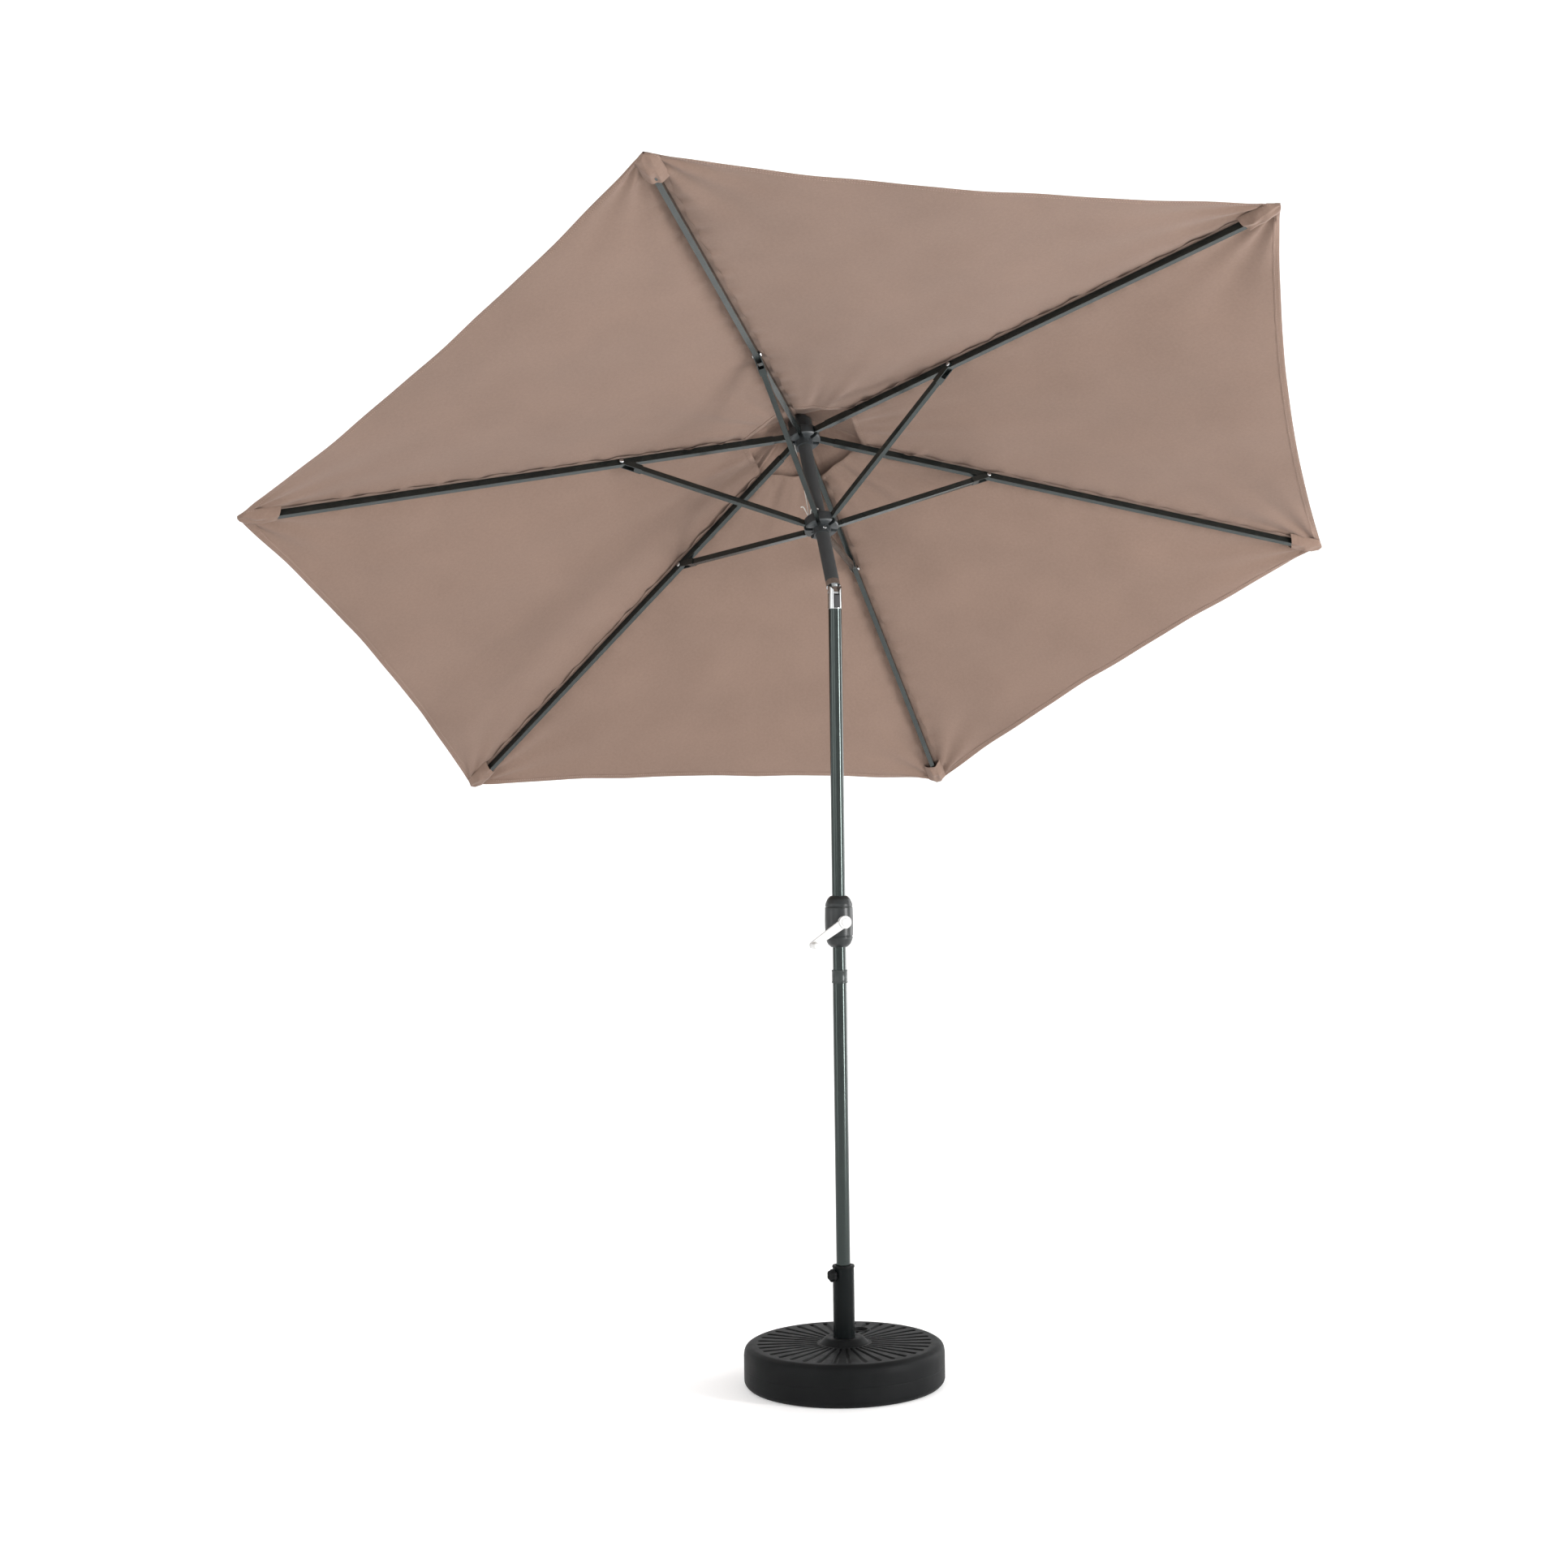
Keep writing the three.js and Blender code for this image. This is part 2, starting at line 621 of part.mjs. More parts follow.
const tongueNeck = box(-TONGUE_HALF, TONGUE_HALF, -TONGUE_RADIUS, TONGUE_RADIUS, 0, KNUCKLE_FLOOR + 1);
const tongue = join(revolve(tongueOutline, 24), tongueDisc, tongueNeck);
add('tilt_tongue', cut(tongue, pinBore, cordLane), 'bright_metal', upperPlace);

// ---------- upper mast ----------
const mastTop = CROWN_RISE + HUB_BORE_RISE - GAP;
const upperStart = KNUCKLE_ABOVE + GAP;
add('upper_mast', ring(upperBore, upperRadius, upperStart, mastTop, MAST_SEGMENTS), 'charcoal_plastic', upperPlace);

// ---------- crown and runner hubs ----------
function hexRing(extra) {
  const across = (RING_RADIUS + extra) / Math.cos(Math.PI / RIB_COUNT);
  const centre = PIVOT_RADIUS / Math.cos(Math.PI / RIB_COUNT);
  const outline = [];
  for (let i = 0; i < 10; i += 1) {
    const turn = (i / 10) * Math.PI * 2;
    outline.push([centre + across * Math.cos(turn), (RING_RADIUS + extra) * Math.sin(turn)]);
  }
  return revolve(outline, RIB_COUNT, 0);
}

function hubSlots() {
  const slots = [];
  for (let i = 0; i < RIB_COUNT; i += 1) {
    const slot = box(HUB_CORE, HUB_RADIUS + 10, -SLOT_WIDTH / 2, SLOT_WIDTH / 2, -HUB_HALF - 2, HUB_HALF - 1);
    slots.push(slot.rotateZ(rad((360 / RIB_COUNT) * i)));
  }
  return slots;
}

const hubBore = upperRadius + GAP;
const cordX = 2 * PULLEY_RADIUS * Math.cos(rad(CORD_AZIMUTH));
const cordY = 2 * PULLEY_RADIUS * Math.sin(rad(CORD_AZIMUTH));
const cordHole = cylinder(CORD_RADIUS + 1, -40, PULLEY_RISE, 10).translate(cordX, cordY, 0);
const crownOutline = [
  [0, HUB_BORE_RISE],
  [hubBore, HUB_BORE_RISE],
  [hubBore, -HUB_SKIRT],
  [HUB_CORE, -HUB_SKIRT],
  [HUB_CORE, -HUB_HALF],
  [HUB_RADIUS - 3, -HUB_HALF],
  [HUB_RADIUS, -HUB_HALF + 3],
  [HUB_RADIUS, HUB_HALF - 3],
  [HUB_RADIUS - 3, HUB_HALF],
  [CROWN_HEAD_RADIUS, HUB_HALF],
  [CROWN_HEAD_RADIUS, CROWN_HEAD_TOP - 10],
  [HUB_CORE, CROWN_HEAD_TOP],
  [0, CROWN_HEAD_TOP],
];
const pulleySlotHalf = PULLEY_WIDTH / 2 + GAP;
const pulleySlot = box(-6, 40, -pulleySlotHalf, pulleySlotHalf, HUB_BORE_RISE - 2, CROWN_HEAD_TOP - 8);
pulleySlot.rotateZ(rad(CORD_AZIMUTH));
const studHole = cylinder(3 + GAP, CROWN_HEAD_TOP - 7, CROWN_HEAD_TOP + 2, 12);
const axleTurn = new THREE.Matrix4()
  .makeRotationZ(rad(CORD_AZIMUTH))
  .multiply(new THREE.Matrix4().makeTranslation(PULLEY_RADIUS, 0, PULLEY_RISE))
  .multiply(facing);
const axleBore = cylinder(PULLEY_AXLE + GAP, -AXLE_HALF - GAP, AXLE_HALF + GAP, 10).applyMatrix4(axleTurn);
const crownTools = [...hubSlots(), hexRing(GAP), pulleySlot, cordHole, studHole, axleBore];
add('crown', cut(revolve(crownOutline, 24), ...crownTools), 'charcoal_plastic', hubPlace(CROWN_RISE));
add('crown_ring', hexRing(0), 'bright_metal', hubPlace(CROWN_RISE));

const axle = cylinder(PULLEY_AXLE, -AXLE_HALF, AXLE_HALF, 10).applyMatrix4(axleTurn);
add('pulley_axle', axle, 'bright_metal', hubPlace(CROWN_RISE));
const grooveRadius = PULLEY_RADIUS - CORD_RADIUS - GAP;
const pulleyOutline = [
  [PULLEY_AXLE + GAP, -PULLEY_WIDTH / 2],
  [grooveRadius + 2.5, -PULLEY_WIDTH / 2],
  [grooveRadius, -CORD_RADIUS],
  [grooveRadius, CORD_RADIUS],
  [grooveRadius + 2.5, PULLEY_WIDTH / 2],
  [PULLEY_AXLE + GAP, PULLEY_WIDTH / 2],
];
const pulley = revolve(pulleyOutline, 16).applyMatrix4(axleTurn);
add('pulley', pulley, 'white_plastic', hubPlace(CROWN_RISE));

const runnerOutline = [
  [hubBore, -HUB_SKIRT],
  [HUB_CORE, -HUB_SKIRT],
  [HUB_CORE, -HUB_HALF],
  [HUB_RADIUS - 3, -HUB_HALF],
  [HUB_RADIUS, -HUB_HALF + 3],
  [HUB_RADIUS, HUB_HALF - 3],
  [HUB_RADIUS - 3, HUB_HALF],
  [HUB_CORE, HUB_HALF],
  [HUB_CORE, HUB_HALF + 5],
  [hubBore, HUB_HALF + 5],
];
const screwReach = HUB_CORE + SCREW_SHANK;
const screwHole = alongY(cylinder(SCREW_SHANK + GAP, -HUB_RADIUS, -hubBore + 1, 10)).translate(0, 0, SCREW_RISE);
const runnerTools = [...hubSlots(), hexRing(GAP), cordHole, screwHole];
add('runner', cut(revolve(runnerOutline, 24), ...runnerTools), 'charcoal_plastic', hubPlace(RUNNER_RISE));
add('runner_ring', hexRing(0), 'bright_metal', hubPlace(RUNNER_RISE));
const screwOutline = [
  [0, hubBore + 1],
  [SCREW_SHANK, hubBore + 1],
  [SCREW_SHANK, HUB_CORE + GAP],
  [SCREW_RADIUS, HUB_CORE + GAP],
  [SCREW_RADIUS - 1, screwReach],
  [0, screwReach],
];
const screwPlace = hubPlace(RUNNER_RISE + SCREW_RISE).multiply(facing);
add('runner_screw', revolve(screwOutline, 14), 'bright_metal', screwPlace);

// ---------- lift cord ----------
const laneHeight = TILT_HEIGHT - KNUCKLE_BELOW - PLUG_LENGTH - 10;
const coilSide = COIL_RADIUS + CORD_RADIUS + GAP;
const lowerCord = [
  [coilSide, 2, CRANK_HEIGHT],
  [coilSide - 1, 2, CRANK_HEIGHT + 40],
  [0, CORD_LANE, laneHeight],
  [0, CORD_LANE, TILT_HEIGHT - KNUCKLE_FLOOR],
];
add('lift_cord_lower', cordThrough(lowerCord), 'white_cord');

const tiltUp = rad(TILT_ANGLE);
const bendEndY = CORD_LANE * Math.cos(tiltUp) + KNUCKLE_FLOOR * Math.sin(tiltUp);
const bendEndZ = KNUCKLE_FLOOR * Math.cos(tiltUp) - CORD_LANE * Math.sin(tiltUp);
const bendCord = [
  [0, CORD_LANE, -KNUCKLE_FLOOR + 2 * GAP],
  [0, CORD_LANE + 1.5, -KNUCKLE_FLOOR / 3],
  [0, bendEndY - GAP, bendEndZ - 2 * GAP],
];
add('lift_cord_bend', cordThrough(bendCord), 'white_cord', pivotPlace);

const overPulley = [];
for (let i = 0; i <= PULLEY_STEPS; i += 1) {
  const turn = Math.PI - (i / PULLEY_STEPS) * Math.PI;
  const reach = PULLEY_RADIUS + PULLEY_RADIUS * Math.cos(turn);
  const lift = CROWN_RISE + PULLEY_RISE + PULLEY_RADIUS * Math.sin(turn);
  overPulley.push([reach * Math.cos(rad(CORD_AZIMUTH)), reach * Math.sin(rad(CORD_AZIMUTH)), lift]);
}
const upperCord = [
  [0, CORD_LANE, KNUCKLE_FLOOR],
  [0, CORD_LANE, KNUCKLE_ABOVE + PLUG_LENGTH],
  [0, 0, CROWN_RISE - 10],
  ...overPulley,
  [cordX, cordY, CROWN_RISE + 10],
  [cordX, cordY, CROWN_RISE - HUB_HALF],
];
add('lift_cord_upper', cordThrough(upperCord), 'white_cord', upperPlace);

const fallCord = [
  [cordX, cordY, CROWN_RISE - HUB_HALF - GAP],
  [cordX, cordY, (CROWN_RISE + RUNNER_RISE) / 2],
  [cordX, cordY, RUNNER_RISE + HUB_HALF - 6],
];
add('lift_cord_fall', cordThrough(fallCord), 'white_cord', upperPlace);

// ---------- ribs, struts and their rivets ----------
const ribCavityHalf = RIB_WIDTH / 2 - RIB_WALL;
const ribCavityRise = RIB_HEIGHT / 2 - RIB_WALL;
const eyeHalf = EYE_WIDTH / 2;
const pivotBoreRadius = RING_RADIUS + PIN_GAP;

function ribShape() {
  const halfWidth = RIB_WIDTH / 2;
  const halfHeight = RIB_HEIGHT / 2;
  const bar = box(RIB_EYE_LENGTH - 12, RIB_LENGTH, -halfWidth, halfWidth, -halfHeight, halfHeight);
  const stem = box(0, RIB_EYE_LENGTH - 8, -eyeHalf, eyeHalf, -RIB_EYE, RIB_EYE);
  const eye = alongY(cylinder(RIB_EYE, -eyeHalf, eyeHalf, 16));
  const hollow = box(
    RIB_EYE_LENGTH,
    RIB_LENGTH - 8,
    -ribCavityHalf,
    ribCavityHalf,
    -ribCavityRise,
    ribCavityRise,
  );
  const pivotBore = alongY(cylinder(pivotBoreRadius, -20, 20, 12));
  const rivetBore = alongY(cylinder(RIVET_RADIUS + GAP, -20, 20, 12)).translate(ATTACH_DISTANCE, 0, 0);
  return cut(join(bar, stem, eye), hollow, pivotBore, rivetBore);
}

const crownToRunner = CROWN_RISE - RUNNER_RISE;
const attachOut = ATTACH_DISTANCE * Math.cos(rad(CANOPY_DROOP));
const attachUp = crownToRunner - ATTACH_DISTANCE * Math.sin(rad(CANOPY_DROOP));
const strutLength = Math.hypot(attachOut, attachUp);
const strutPitch = THREE.MathUtils.radToDeg(Math.atan2(attachUp, attachOut));
const clevisInner = RIB_WIDTH / 2 + 2 * GAP;
const clevisOuter = clevisInner + CLEVIS_CHEEK;

function strutShape() {
  const halfWidth = STRUT_WIDTH / 2;
  const halfHeight = STRUT_HEIGHT / 2;
  const clevisStart = strutLength - CLEVIS_LENGTH;
  const slotStart = strutLength - CLEVIS_DEPTH;
  const bar = box(STRUT_BAR_START, clevisStart + 5, -halfWidth, halfWidth, -halfHeight, halfHeight);
  const stem = box(0, STRUT_STEM_END, -eyeHalf, eyeHalf, -STRUT_EYE, STRUT_EYE);
  const eye = alongY(cylinder(STRUT_EYE, -eyeHalf, eyeHalf, 16));
  const clevis = box(clevisStart, strutLength, -clevisOuter, clevisOuter, -CLEVIS_END, CLEVIS_END);
  const nose = alongY(cylinder(CLEVIS_END, -clevisOuter, clevisOuter, 16)).translate(strutLength, 0, 0);
  const hollow = box(
    STRUT_HOLLOW_START,
    slotStart + 2,
    -halfWidth + STRUT_WALL,
    halfWidth - STRUT_WALL,
    -halfHeight + STRUT_WALL,
    halfHeight - STRUT_WALL,
  );
  const slot = box(slotStart, strutLength + 20, -clevisInner, clevisInner, -20, 20);
  const pivotBore = alongY(cylinder(pivotBoreRadius, -20, 20, 12));
  const rivetBore = alongY(cylinder(RIVET_RADIUS + LINK_GAP, -20, 20, 14)).translate(strutLength, 0, 0);
  return cut(join(bar, stem, eye, clevis, nose), hollow, slot, pivotBore, rivetBore);
}

function rivetShape() {
  const headStart = clevisOuter + GAP;
  const headEnd = headStart + RIVET_HEAD_THICKNESS;
  const outline = [
    [0, -headEnd],
    [RIVET_HEAD - 1.5, -headEnd],
    [RIVET_HEAD, -headStart],
    [RIVET_RADIUS, -headStart],
    [RIVET_RADIUS, headStart],
    [RIVET_HEAD, headStart],
    [RIVET_HEAD - 1.5, headEnd],
    [0, headEnd],
  ];
  return alongY(revolve(outline, 10)).translate(ATTACH_DISTANCE, 0, 0);
}

// ---------- canopy ----------
const panelHalf = Math.PI / RIB_COUNT;
const droopSlope = Math.tan(rad(CANOPY_DROOP));
const ridgeLift = (RIB_HEIGHT / 2 + RIDGE_GAP) / Math.cos(rad(CANOPY_DROOP)) + PIVOT_RADIUS * droopSlope;
const tipRadius = PIVOT_RADIUS + (RIB_LENGTH + TIP_OVERLAP) * Math.cos(rad(CANOPY_DROOP));

// Height of the canopy's underside where a panel is a given distance out along its middle line.
function panelHeight(outAlongMiddle) {
  return ridgeLift - (outAlongMiddle * droopSlope) / Math.cos(panelHalf);
}

// One column of the gore: its inner and outer points at a share of the way from rib to panel middle.
function goreColumn(share, side) {
  const fromMiddle = panelHalf * (1 - share);
  const across = Math.tan(fromMiddle) / Math.tan(panelHalf);
  const innerOut = VENT_RADIUS * Math.cos(panelHalf);
  const outerOut = tipRadius * Math.cos(panelHalf) - EDGE_SAG * (1 - across * across);
  return [innerOut, outerOut].map((out) => {
    const aside = Math.max(out * Math.tan(fromMiddle), FABRIC_GAP / 2);
    const turn = panelHalf - Math.atan2(aside, out);
    const radius = Math.hypot(out, aside);
    return [radius * Math.cos(turn), side * radius * Math.sin(turn), panelHeight(out)];
  });
}

function goreShape() {
  const columns = [];
  for (let i = -GORE_COLUMNS; i <= GORE_COLUMNS; i += 1) {
    columns.push(goreColumn(Math.abs(i) / GORE_COLUMNS, Math.sign(i)));
  }
  const rings = columns.map(([inner, outer]) => [
    inner,
    outer,
    [outer[0], outer[1], outer[2] + FABRIC],
    [inner[0], inner[1], inner[2] + FABRIC],
  ]);
  const triangles = [];
  const quad = (a, b, c, d) => triangles.push(...a, ...b, ...c, ...a, ...c, ...d);
  for (let i = 0; i + 1 < rings.length; i += 1) {
    for (let k = 0; k < 4; k += 1) {
      const next = (k + 1) % 4;
      quad(rings[i][k], rings[i][next], rings[i + 1][next], rings[i + 1][k]);
    }
  }
  const last = rings[rings.length - 1];
  quad(rings[0][3], rings[0][2], rings[0][1], rings[0][0]);
  quad(last[0], last[1], last[2], last[3]);
  const geometry = new THREE.BufferGeometry();
  geometry.setAttribute('position', new THREE.BufferAttribute(new Float32Array(triangles), 3));
  return surface(solid(outward(geometry)));
}

for (let i = 0; i < RIB_COUNT; i += 1) {
  const azimuth = (360 / RIB_COUNT) * i;
  const ribPlace = armPlace(CROWN_RISE, azimuth, CANOPY_DROOP);
  const gorePlace = hubPlace(CROWN_RISE).multiply(new THREE.Matrix4().makeRotationZ(rad(azimuth)));
  add(`rib_${i + 1}`, ribShape(), 'satin_charcoal', ribPlace);
  add(`rib_rivet_${i + 1}`, rivetShape(), 'bright_metal', ribPlace);
  add(`canopy_gore_${i + 1}`, goreShape(), 'taupe_fabric', gorePlace);
  add(`strut_${i + 1}`, strutShape(), 'satin_charcoal', armPlace(RUNNER_RISE, azimuth, -strutPitch));
}

// ---------- vent cap and finial ----------
const capEdge = panelHeight(CAP_RADIUS * Math.cos(panelHalf)) + FABRIC + CAP_CLEARANCE;
const capOutline = [
  [CAP_HOLE, CAP_TOP],
  [CAP_RADIUS, capEdge],
  [CAP_RADIUS, capEdge + FABRIC],
  [CAP_HOLE, CAP_TOP + FABRIC],
];
const ventCap = revolve(capOutline, RIB_COUNT, 30);
add('vent_cap', ventCap, 'taupe_fabric', hubPlace(CROWN_RISE));

const finialSeat = CAP_TOP + FABRIC + GAP;
const finialOutline = [
  [0, CROWN_HEAD_TOP - 5],
  [3, CROWN_HEAD_TOP - 5],
  [3, finialSeat],
  [FINIAL_RADIUS + 4, finialSeat],
  [FINIAL_RADIUS + 4, finialSeat + 3],
  [8, finialSeat + 6],
  [FINIAL_RADIUS * 0.8, finialSeat + 11],
  [FINIAL_RADIUS, finialSeat + 19],
  [FINIAL_RADIUS * 0.8, finialSeat + 27],
  [0, finialSeat + 32],
];
add('finial', revolve(finialOutline, 18), 'charcoal_plastic', hubPlace(CROWN_RISE));

export default part;
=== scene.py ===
# %% [markdown]
# # Patio umbrella with a filled base
# This script dresses a packed umbrella model. The frame holds every rigid part in
# metres. We keep its sizes and give each visible part a finer surface and finish.

# %% Load the frame
import json
import math

import bmesh
import bpy
import numpy as np
from mathutils import Matrix, Vector


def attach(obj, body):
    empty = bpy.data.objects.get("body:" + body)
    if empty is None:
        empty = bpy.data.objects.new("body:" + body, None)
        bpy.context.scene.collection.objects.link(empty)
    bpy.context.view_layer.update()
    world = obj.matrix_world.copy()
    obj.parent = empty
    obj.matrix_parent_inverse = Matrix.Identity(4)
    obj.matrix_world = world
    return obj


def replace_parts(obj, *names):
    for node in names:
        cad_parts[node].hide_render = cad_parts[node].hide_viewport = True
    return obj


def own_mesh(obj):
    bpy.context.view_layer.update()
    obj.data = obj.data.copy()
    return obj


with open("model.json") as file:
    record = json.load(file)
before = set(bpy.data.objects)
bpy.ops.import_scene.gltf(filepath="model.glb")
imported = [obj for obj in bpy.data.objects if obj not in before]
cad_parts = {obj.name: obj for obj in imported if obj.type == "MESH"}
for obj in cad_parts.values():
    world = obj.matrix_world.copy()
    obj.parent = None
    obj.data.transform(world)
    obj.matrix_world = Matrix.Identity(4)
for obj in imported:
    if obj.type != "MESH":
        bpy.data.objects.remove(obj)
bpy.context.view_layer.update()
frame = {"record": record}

# %% [markdown]
# The same sizes as the rigid model, in metres. The canopy head leans on the tilt
# joint, so most of its shapes are worked out upright and then turned as one.

# %% Sizes
RIBS = 6
RIB_LENGTH = 1.36
DROOP = math.radians(12.6)
TILT = math.radians(30)
TILT_HEIGHT = 1.868
CROWN_RISE = 0.466
RUNNER_RISE = 0.200
PIVOT = 0.0324
BASE_RADIUS = 0.237
BASE_HEIGHT = 0.098
SPLICE = 0.960
CRANK_HEIGHT = 1.090
TUBE_TOP = 0.275
CORD_AZIMUTH = math.radians(150)
CORD_REACH = 0.024
CORD_RADIUS = 0.00125
PANEL_HALF = math.pi / RIBS
SLOPE = math.tan(DROOP)
TAU = 2 * math.pi
UP = (0.0, math.sin(TILT), math.cos(TILT))


def placed(*steps):
    """Multiply 4 by 4 matrices in the order given."""
    out = np.eye(4)
    for step in steps:
        out = out @ np.array(step, float)
    return out


def shift(x, y, z):
    """A move by x, y, z."""
    return Matrix.Translation((x, y, z))


def turn(angle, axis):
    """A turn by an angle in radians about X, Y or Z."""
    return Matrix.Rotation(angle, 4, axis)


def moved(points, place):
    """Every point times a place matrix, whatever shape the array of points has."""
    return points @ place[:3, :3].T + place[:3, 3]


HEAD = placed(shift(0, 0, TILT_HEIGHT), turn(-TILT, "X"))
CROWN = placed(HEAD, shift(0, 0, CROWN_RISE))
RUNNER = placed(HEAD, shift(0, 0, RUNNER_RISE))
KNUCKLE = placed(shift(0, 0, TILT_HEIGHT))
CRANK = placed(shift(0, 0, CRANK_HEIGHT))
FACING = turn(math.pi / 2, "X")
print("crown at", moved(np.zeros(3), CROWN).round(3))

# %% [markdown]
# The camera stands well back with a slightly long lens, at about the height of the
# crank, and looks up under the leaning canopy.

# %% Camera
camera_data = bpy.data.cameras.new("camera")
camera = bpy.data.objects.new("camera", camera_data)
bpy.context.scene.collection.objects.link(camera)
camera_data.sensor_width = 36
camera_data.lens = 53.15
camera_data.shift_x = -0.051
camera_data.shift_y = -0.0149
camera_data.clip_end = 100
look = Matrix(((0.94533, 0.00677, -0.32605), (-0.32586, -0.02004, -0.94520), (-0.01293, 0.99978, -0.01674)))
camera.matrix_world = Matrix.Translation((-1.7277, -5.2053, 1.3776)) @ look.to_4x4()
bpy.context.scene.camera = camera
bpy.context.scene.view_settings.view_transform = "Standard"
print("camera at", [round(v, 3) for v in camera.location])

# %% [markdown]
# ## Mesh helpers
# Each new surface is an array of points worked out at once. A grid of points
# becomes four-sided faces, and a closed direction joins its last row to its first.

# %% Grids and turned shapes


def grid_faces(rows, columns, start=0, wrap_rows=False, wrap_columns=False):
    """Faces of a rows by columns grid of points, wound so that rows cross columns points outward."""
    r = np.arange(rows if wrap_rows else rows - 1)
    c = np.arange(columns if wrap_columns else columns - 1)
    r, c = np.meshgrid(r, c, indexing="ij")
    r2, c2 = (r + 1) % rows, (c + 1) % columns
    quads = np.stack([r * columns + c, r * columns + c2, r2 * columns + c2, r2 * columns + c], -1)
    return quads.reshape(-1, 4) + start


def new_piece(name, points, faces, material, body, uv=None, smooth=32, fix=True):
    """A mesh object from points and faces, smooth except where it folds by more than an angle."""
    mesh = bpy.data.meshes.new(name)
    mesh.from_pydata(np.asarray(points, float).reshape(-1, 3).tolist(), [], [tuple(f) for f in faces])
    if uv is not None:
        loops = np.empty(len(mesh.loops), np.int32)
        mesh.loops.foreach_get("vertex_index", loops)
        layer = mesh.uv_layers.new(name="lay")
        layer.data.foreach_set("uv", np.asarray(uv, np.float32).reshape(-1, 2)[loops].ravel())
    work = bmesh.new()
    work.from_mesh(mesh)
    bmesh.ops.remove_doubles(work, verts=work.verts, dist=1e-6)
    if fix:
        bmesh.ops.recalc_face_normals(work, faces=work.faces)
    work.to_mesh(mesh)
    work.free()
    mesh.polygons.foreach_set("use_smooth", np.ones(len(mesh.polygons), bool))
    mesh.set_sharp_from_angle(angle=math.radians(smooth))
    obj = bpy.data.objects.new(name, mesh)
    bpy.context.scene.collection.objects.link(obj)
    mesh.materials.append(material)
    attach(obj, body)
    return obj


def turned_points(outline, segments):
    """Radius and height pairs carried round Z: x = r cos a, y = r sin a, z = h."""
    outline = np.asarray(outline, float)
    angle = np.arange(segments) / segments * TAU
    r, h = outline[:, :1], outline[:, 1:]
    return np.stack([r * np.cos(angle), r * np.sin(angle), h + 0 * angle], -1)


def rounded(outline, radius, steps=4):
    """Replace each inner corner of an open outline with a small arc through a quadratic curve."""
    outline = np.asarray(outline, float)
    out = [outline[0]]
    for before, here, after in zip(outline[:-2], outline[1:-1], outline[2:]):
        first, second = before - here, after - here
        a, b = np.linalg.norm(first), np.linalg.norm(second)
        cut = min(radius, a * 0.45, b * 0.45)
        p, q = here + first / a * cut, here + second / b * cut
        t = np.linspace(0, 1, steps + 1)[:, None]
        out.extend((1 - t) ** 2 * p + 2 * t * (1 - t) * here + t**2 * q)
    out.append(outline[-1])
    return np.array(out)


def turned(name, outline, material, body, place=None, segments=96, round_by=0.0, closed=False, smooth=32):
    """A turned piece. Its outline starts and ends on the axis, or closes on itself."""
    outline = rounded(outline, round_by) if round_by else np.asarray(outline, float)
    points = turned_points(outline, segments)
    faces = grid_faces(len(outline), segments, wrap_rows=closed, wrap_columns=True)
    if place is not None:
        points = moved(points, place)
    return new_piece(name, points, faces, material, body, smooth=smooth)


def tube_outline(inner, outer, low, high, edge=0.0004):
    """A closed outline of a tube wall with its four corners broken by a small edge."""
    return [
        (inner, low + edge), (inner + edge, low), (outer - edge, low), (outer, low + edge),
        (outer, high - edge), (outer - edge, high), (inner + edge, high), (inner, high - edge),
    ]


def swept(name, path, outline, material, body, up=(0, 0, 1), closed_path=False):
    """Carry a closed outline of (aside, above) pairs along a path. The frame at each point is
    the path's direction, and the stated up made square to it. The map "lay" holds the distance
    along the path and the distance round the outline, in metres."""
    path = np.asarray(path, float)
    along = np.gradient(path, axis=0)
    if closed_path:
        along = np.roll(path, -1, 0) - np.roll(path, 1, 0)
    along /= np.linalg.norm(along, axis=1, keepdims=True)
    aside = np.cross(along, np.asarray(up, float))
    aside /= np.linalg.norm(aside, axis=1, keepdims=True)
    above = np.cross(aside, along)
    outline = np.asarray(outline, float)
    if outline.ndim == 2:
        outline = np.broadcast_to(outline, (len(path),) + outline.shape)
    points = path[:, None] + outline[..., :1] * aside[:, None] + outline[..., 1:] * above[:, None]
    faces = list(grid_faces(len(path), outline.shape[1], wrap_rows=closed_path, wrap_columns=True))
    if not closed_path:
        count = outline.shape[1]
        faces.append(np.arange(count))
        faces.append(np.arange(count)[::-1] + (len(path) - 1) * count)
    travelled = np.concatenate([[0], np.cumsum(np.linalg.norm(np.diff(path, axis=0), axis=1))])
    sides = np.linalg.norm(np.diff(outline, axis=1), axis=2)
    around = np.concatenate([np.zeros((len(path), 1)), np.cumsum(sides, axis=1)], 1)
    lay = np.stack([np.broadcast_to(travelled[:, None], around.shape), around], -1)
    return new_piece(name, points, faces, material, body, uv=lay.reshape(-1, 2), smooth=40)


def circle(radius, steps=12):
    """A closed round outline."""
    angle = np.arange(steps) / steps * TAU
    return np.stack([radius * np.cos(angle), radius * np.sin(angle)], -1)


def smooth_path(points, steps):
    """A Catmull-Rom curve through points, with its ends repeated."""
    p = np.asarray(points, float)
    p = np.vstack([2 * p[0] - p[1], p, 2 * p[-1] - p[-2]])
    t = np.linspace(0, len(p) - 3, steps)
    i = np.minimum(t.astype(int), len(p) - 4)
    f = (t - i)[:, None]
    a, b, c, d = p[i], p[i + 1], p[i + 2], p[i + 3]
    return 0.5 * (2 * b + (c - a) * f + (2 * a - 5 * b + 4 * c - d) * f**2 + (3 * b - a - 3 * c + d) * f**3)


